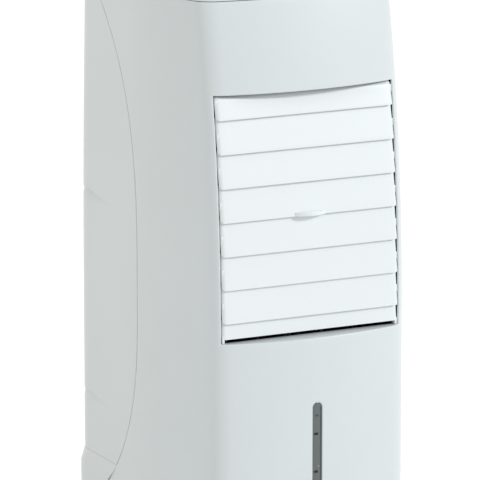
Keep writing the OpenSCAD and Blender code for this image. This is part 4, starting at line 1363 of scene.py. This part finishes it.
for node_name, radius, material, body, slot in (
    ("louvre_frame", 0.0004, CHARCOAL_AND_SHADE_FRAME_PP, "cabinet", "charcoal_pp"),
    ("slat_link", 0.0005, PALE_PP, "slat_link", "pale_pp"),
    *((f"vane_{k}", 0.0007, PALE_PP, f"vane_{k}", "pale_pp") for k in range(1, 6)),
    ("vane_link", 0.0005, PALE_PP, "vane_link", "pale_pp"),
    ("pad_frame", 0.0006, PALE_PP, "cabinet", "pale_pp"),
    ("water_tray", 0.0005, PALE_PP, "cabinet", "pale_pp"),
    ("water_tank", 0.0006, CLEAR_TANK_PP, "cabinet", "tank_pp"),
    ("upper_grille", 0.0003, GRILLE_ABS, "upper_rear_panel", "grille_abs"),
    ("lower_grille", 0.0003, GRILLE_ABS, "lower_rear_panel", "grille_abs"),
    ("drain_plug", 0.0003, PALE_PP, "drain_plug", "pale_pp"),
    ("pump", 0.0005, PUMP_ABS, "cabinet", "pump_abs"),
):
    softened(node_name, radius, material, body, slot)


# ---- Castors ----
# Twin-wheel castors: a nylon body on a swivel stem, and two wheels with grey rubber tyres
# pressed on nylon hubs.

TREAD_GREY = moulded_plastic("grey_thermoplastic_rubber_tyre", "55585A", roughness=0.6, grain=0.3, ior=1.5)
WHEEL_R = 0.017
WHEEL_WIDE = 0.008
HUB_HALF = 0.004
TYRE_IN = 0.0125
AXLE_R = 0.003


def castor_wheel(i):
    axle = middle_of(f"castor_wheel_{i}")
    tyres, hubs = Skin(), Skin()
    near = HUB_HALF + 0.0004
    far = near + WHEEL_WIDE
    tread = [(TYRE_IN, near + 0.0004), (WHEEL_R - 0.0010, near), (WHEEL_R - 0.0003, near + 0.0004)]
    tread += [(WHEEL_R, near + 0.0012), (WHEEL_R, far - 0.0028), (WHEEL_R - 0.0005, far - 0.0014)]
    tread += [(WHEEL_R - 0.0016, far - 0.0005), (WHEEL_R - 0.0030, far - 0.0002)]
    tread += [(TYRE_IN, far - 0.0006), (TYRE_IN, near + 0.0004)]
    disc = [(0, near), (TYRE_IN, near), (TYRE_IN, far - 0.0012), (TYRE_IN - 0.0006, far - 0.0009)]
    disc += [(0.0108, far - 0.0016), (0.0070, far - 0.0024), (0.0048, far - 0.0008)]
    disc += [(AXLE_R, far), (0, far)]
    for side in (-1, 1):
        sweep(tyres, [(r, side * h) for r, h in tread], axle, "X", 56)
        sweep(hubs, [(r, side * h) for r, h in disc], axle, "X", 56)
    sweep(hubs, rod(AXLE_R, -near - 0.001, near + 0.001), axle, "X", 24)
    wheel = f"castor_wheel_{i}"
    tyre = round_edges(tyres.piece(f"{wheel}_tyres", TREAD_GREY), 0.0002, segments=1, angle=45)
    hub = round_edges(hubs.piece(f"{wheel}_hubs", CASTOR_NYLON), 0.0002, segments=1, angle=45)
    shown(tyre, wheel, "castor_tread", wheel)
    shown(hub, wheel, "castor_nylon", wheel)


for i in range(1, 5):
    softened(f"castor_fork_{i}", 0.0008, CASTOR_NYLON, f"castor_fork_{i}", "castor_nylon")
    castor_wheel(i)


# ---- Gland and screws ----
# The cord passes through a black rubber gland in the heel. Five zinc-plated pan-head screws
# hold the rear shell.

GLAND_RUBBER = moulded_plastic("black_rubber_gland", "1F2021", roughness=0.62, grain=0.25, ior=1.52)


def metal(name, hex_code, roughness, grain):
    """Plated or drawn metal: fine lines from its making, and slightly uneven brightness."""
    gloss = (roughness - 0.06, roughness + 0.08)
    return one_noise_surface(name, hex_code, 1 / grain, 3.0, gloss, (0.1, 0.00005), {"Metallic": 1.0})


ZINC_STEEL = metal("bright_zinc_plated_steel", "C4C6C8", 0.32, 0.0008)
softened("cord_gland", 0.0006, GLAND_RUBBER, "cabinet", "rubber_black")
softened("cabinet_screws", 0.0002, ZINC_STEEL, "cabinet", "motor_steel")


# ---- Filters and cooling pad ----
# Each rear panel carries a black nylon dust mesh. Behind them stands the pad: sheets of
# corrugated cellulose glued with their flutes crossed.

THREAD_PITCH = 0.0016
THREAD_RISE = 0.0004


def woven_nylon(name):
    """Threads both ways, twice as coarse as the real ones so that they show."""
    mesh = new_material(name)
    at = {"Vector": (node(mesh, "ShaderNodeTexCoord"), "Object")}
    repeat = {"Scale": math.pi / 10 / THREAD_PITCH, "Distortion": 0.0}
    waves = {}
    for k, direction in enumerate(("X", "Z")):
        settings = {"bands_direction": direction, "wave_profile": "SIN"}
        waves[k] = (node(mesh, "ShaderNodeTexWave", settings, repeat, at), "Fac")
    threads = node(mesh, "ShaderNodeMath", {"operation": "MAXIMUM"}, links=waves)
    # Painted shade: the near-black between the threads stands for the holes and the dark seen through them,
    # which are not cut; the threads are grey.
    shades = {"A": srgb("0B0C0C"), "B": srgb("4A4E50")}
    tint = node(mesh, "ShaderNodeMix", {"data_type": "RGBA"}, shades, {"Factor": (threads, 0)})
    relief = {"Strength": 0.6, "Distance": THREAD_RISE}
    relief = node(mesh, "ShaderNodeBump", inputs=relief, links={"Height": (threads, 0)})
    shader = node(
        mesh,
        "ShaderNodeBsdfPrincipled",
        inputs={"Roughness": 0.55, "IOR": 1.53},
        links={"Base Color": (tint, "Result"), "Normal": (relief, "Normal")},
    )
    node(mesh, "ShaderNodeOutputMaterial", links={"Surface": (shader, 0)})
    return mesh


FILTER_MESH = woven_nylon("woven_black_nylon_mesh")
softened("upper_filter", 0.0005, FILTER_MESH, "upper_rear_panel", "filter_mesh")
softened("lower_filter", 0.0005, FILTER_MESH, "lower_rear_panel", "filter_mesh")


# ---- Inside parts ----
# The blower, motors, pump hose, tubes and board keep their CAD shapes.

FAN_PP = moulded_plastic("black_fan_polypropylene", "2B2E31", roughness=0.4, grain=0.15, ior=1.49)
SILICONE = clear_plastic("milky_silicone_hose", "DADFDF", roughness=0.3, ior=1.41, clearness=0.4)
SOLDER_MASK = moulded_plastic("green_solder_mask_board", "1F5A37", roughness=0.35, coat=0.2)
CELLULOSE = moulded_plastic("brown_corrugated_cellulose", "A07A4C", roughness=0.85, grain=0.6)
MOTOR_STEEL = metal("grey_motor_can_steel", "9B9FA3", 0.4, 0.0012)

for node_name, material in (
    ("blower_housing", PALE_PP),
    ("fan_wheel", FAN_PP),
    ("fan_shaft", ZINC_STEEL),
    ("fan_motor", MOTOR_STEEL),
    ("swing_motor", MOTOR_STEEL),
    ("water_hose", SILICONE),
    ("sight_tube", SILICONE),
    ("control_board", SOLDER_MASK),
    ("cooling_pad", CELLULOSE),
    ("pump_impeller", PALE_PP),
):
    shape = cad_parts[node_name]
    shape.data.materials.clear()
    shape.data.materials.append(material)
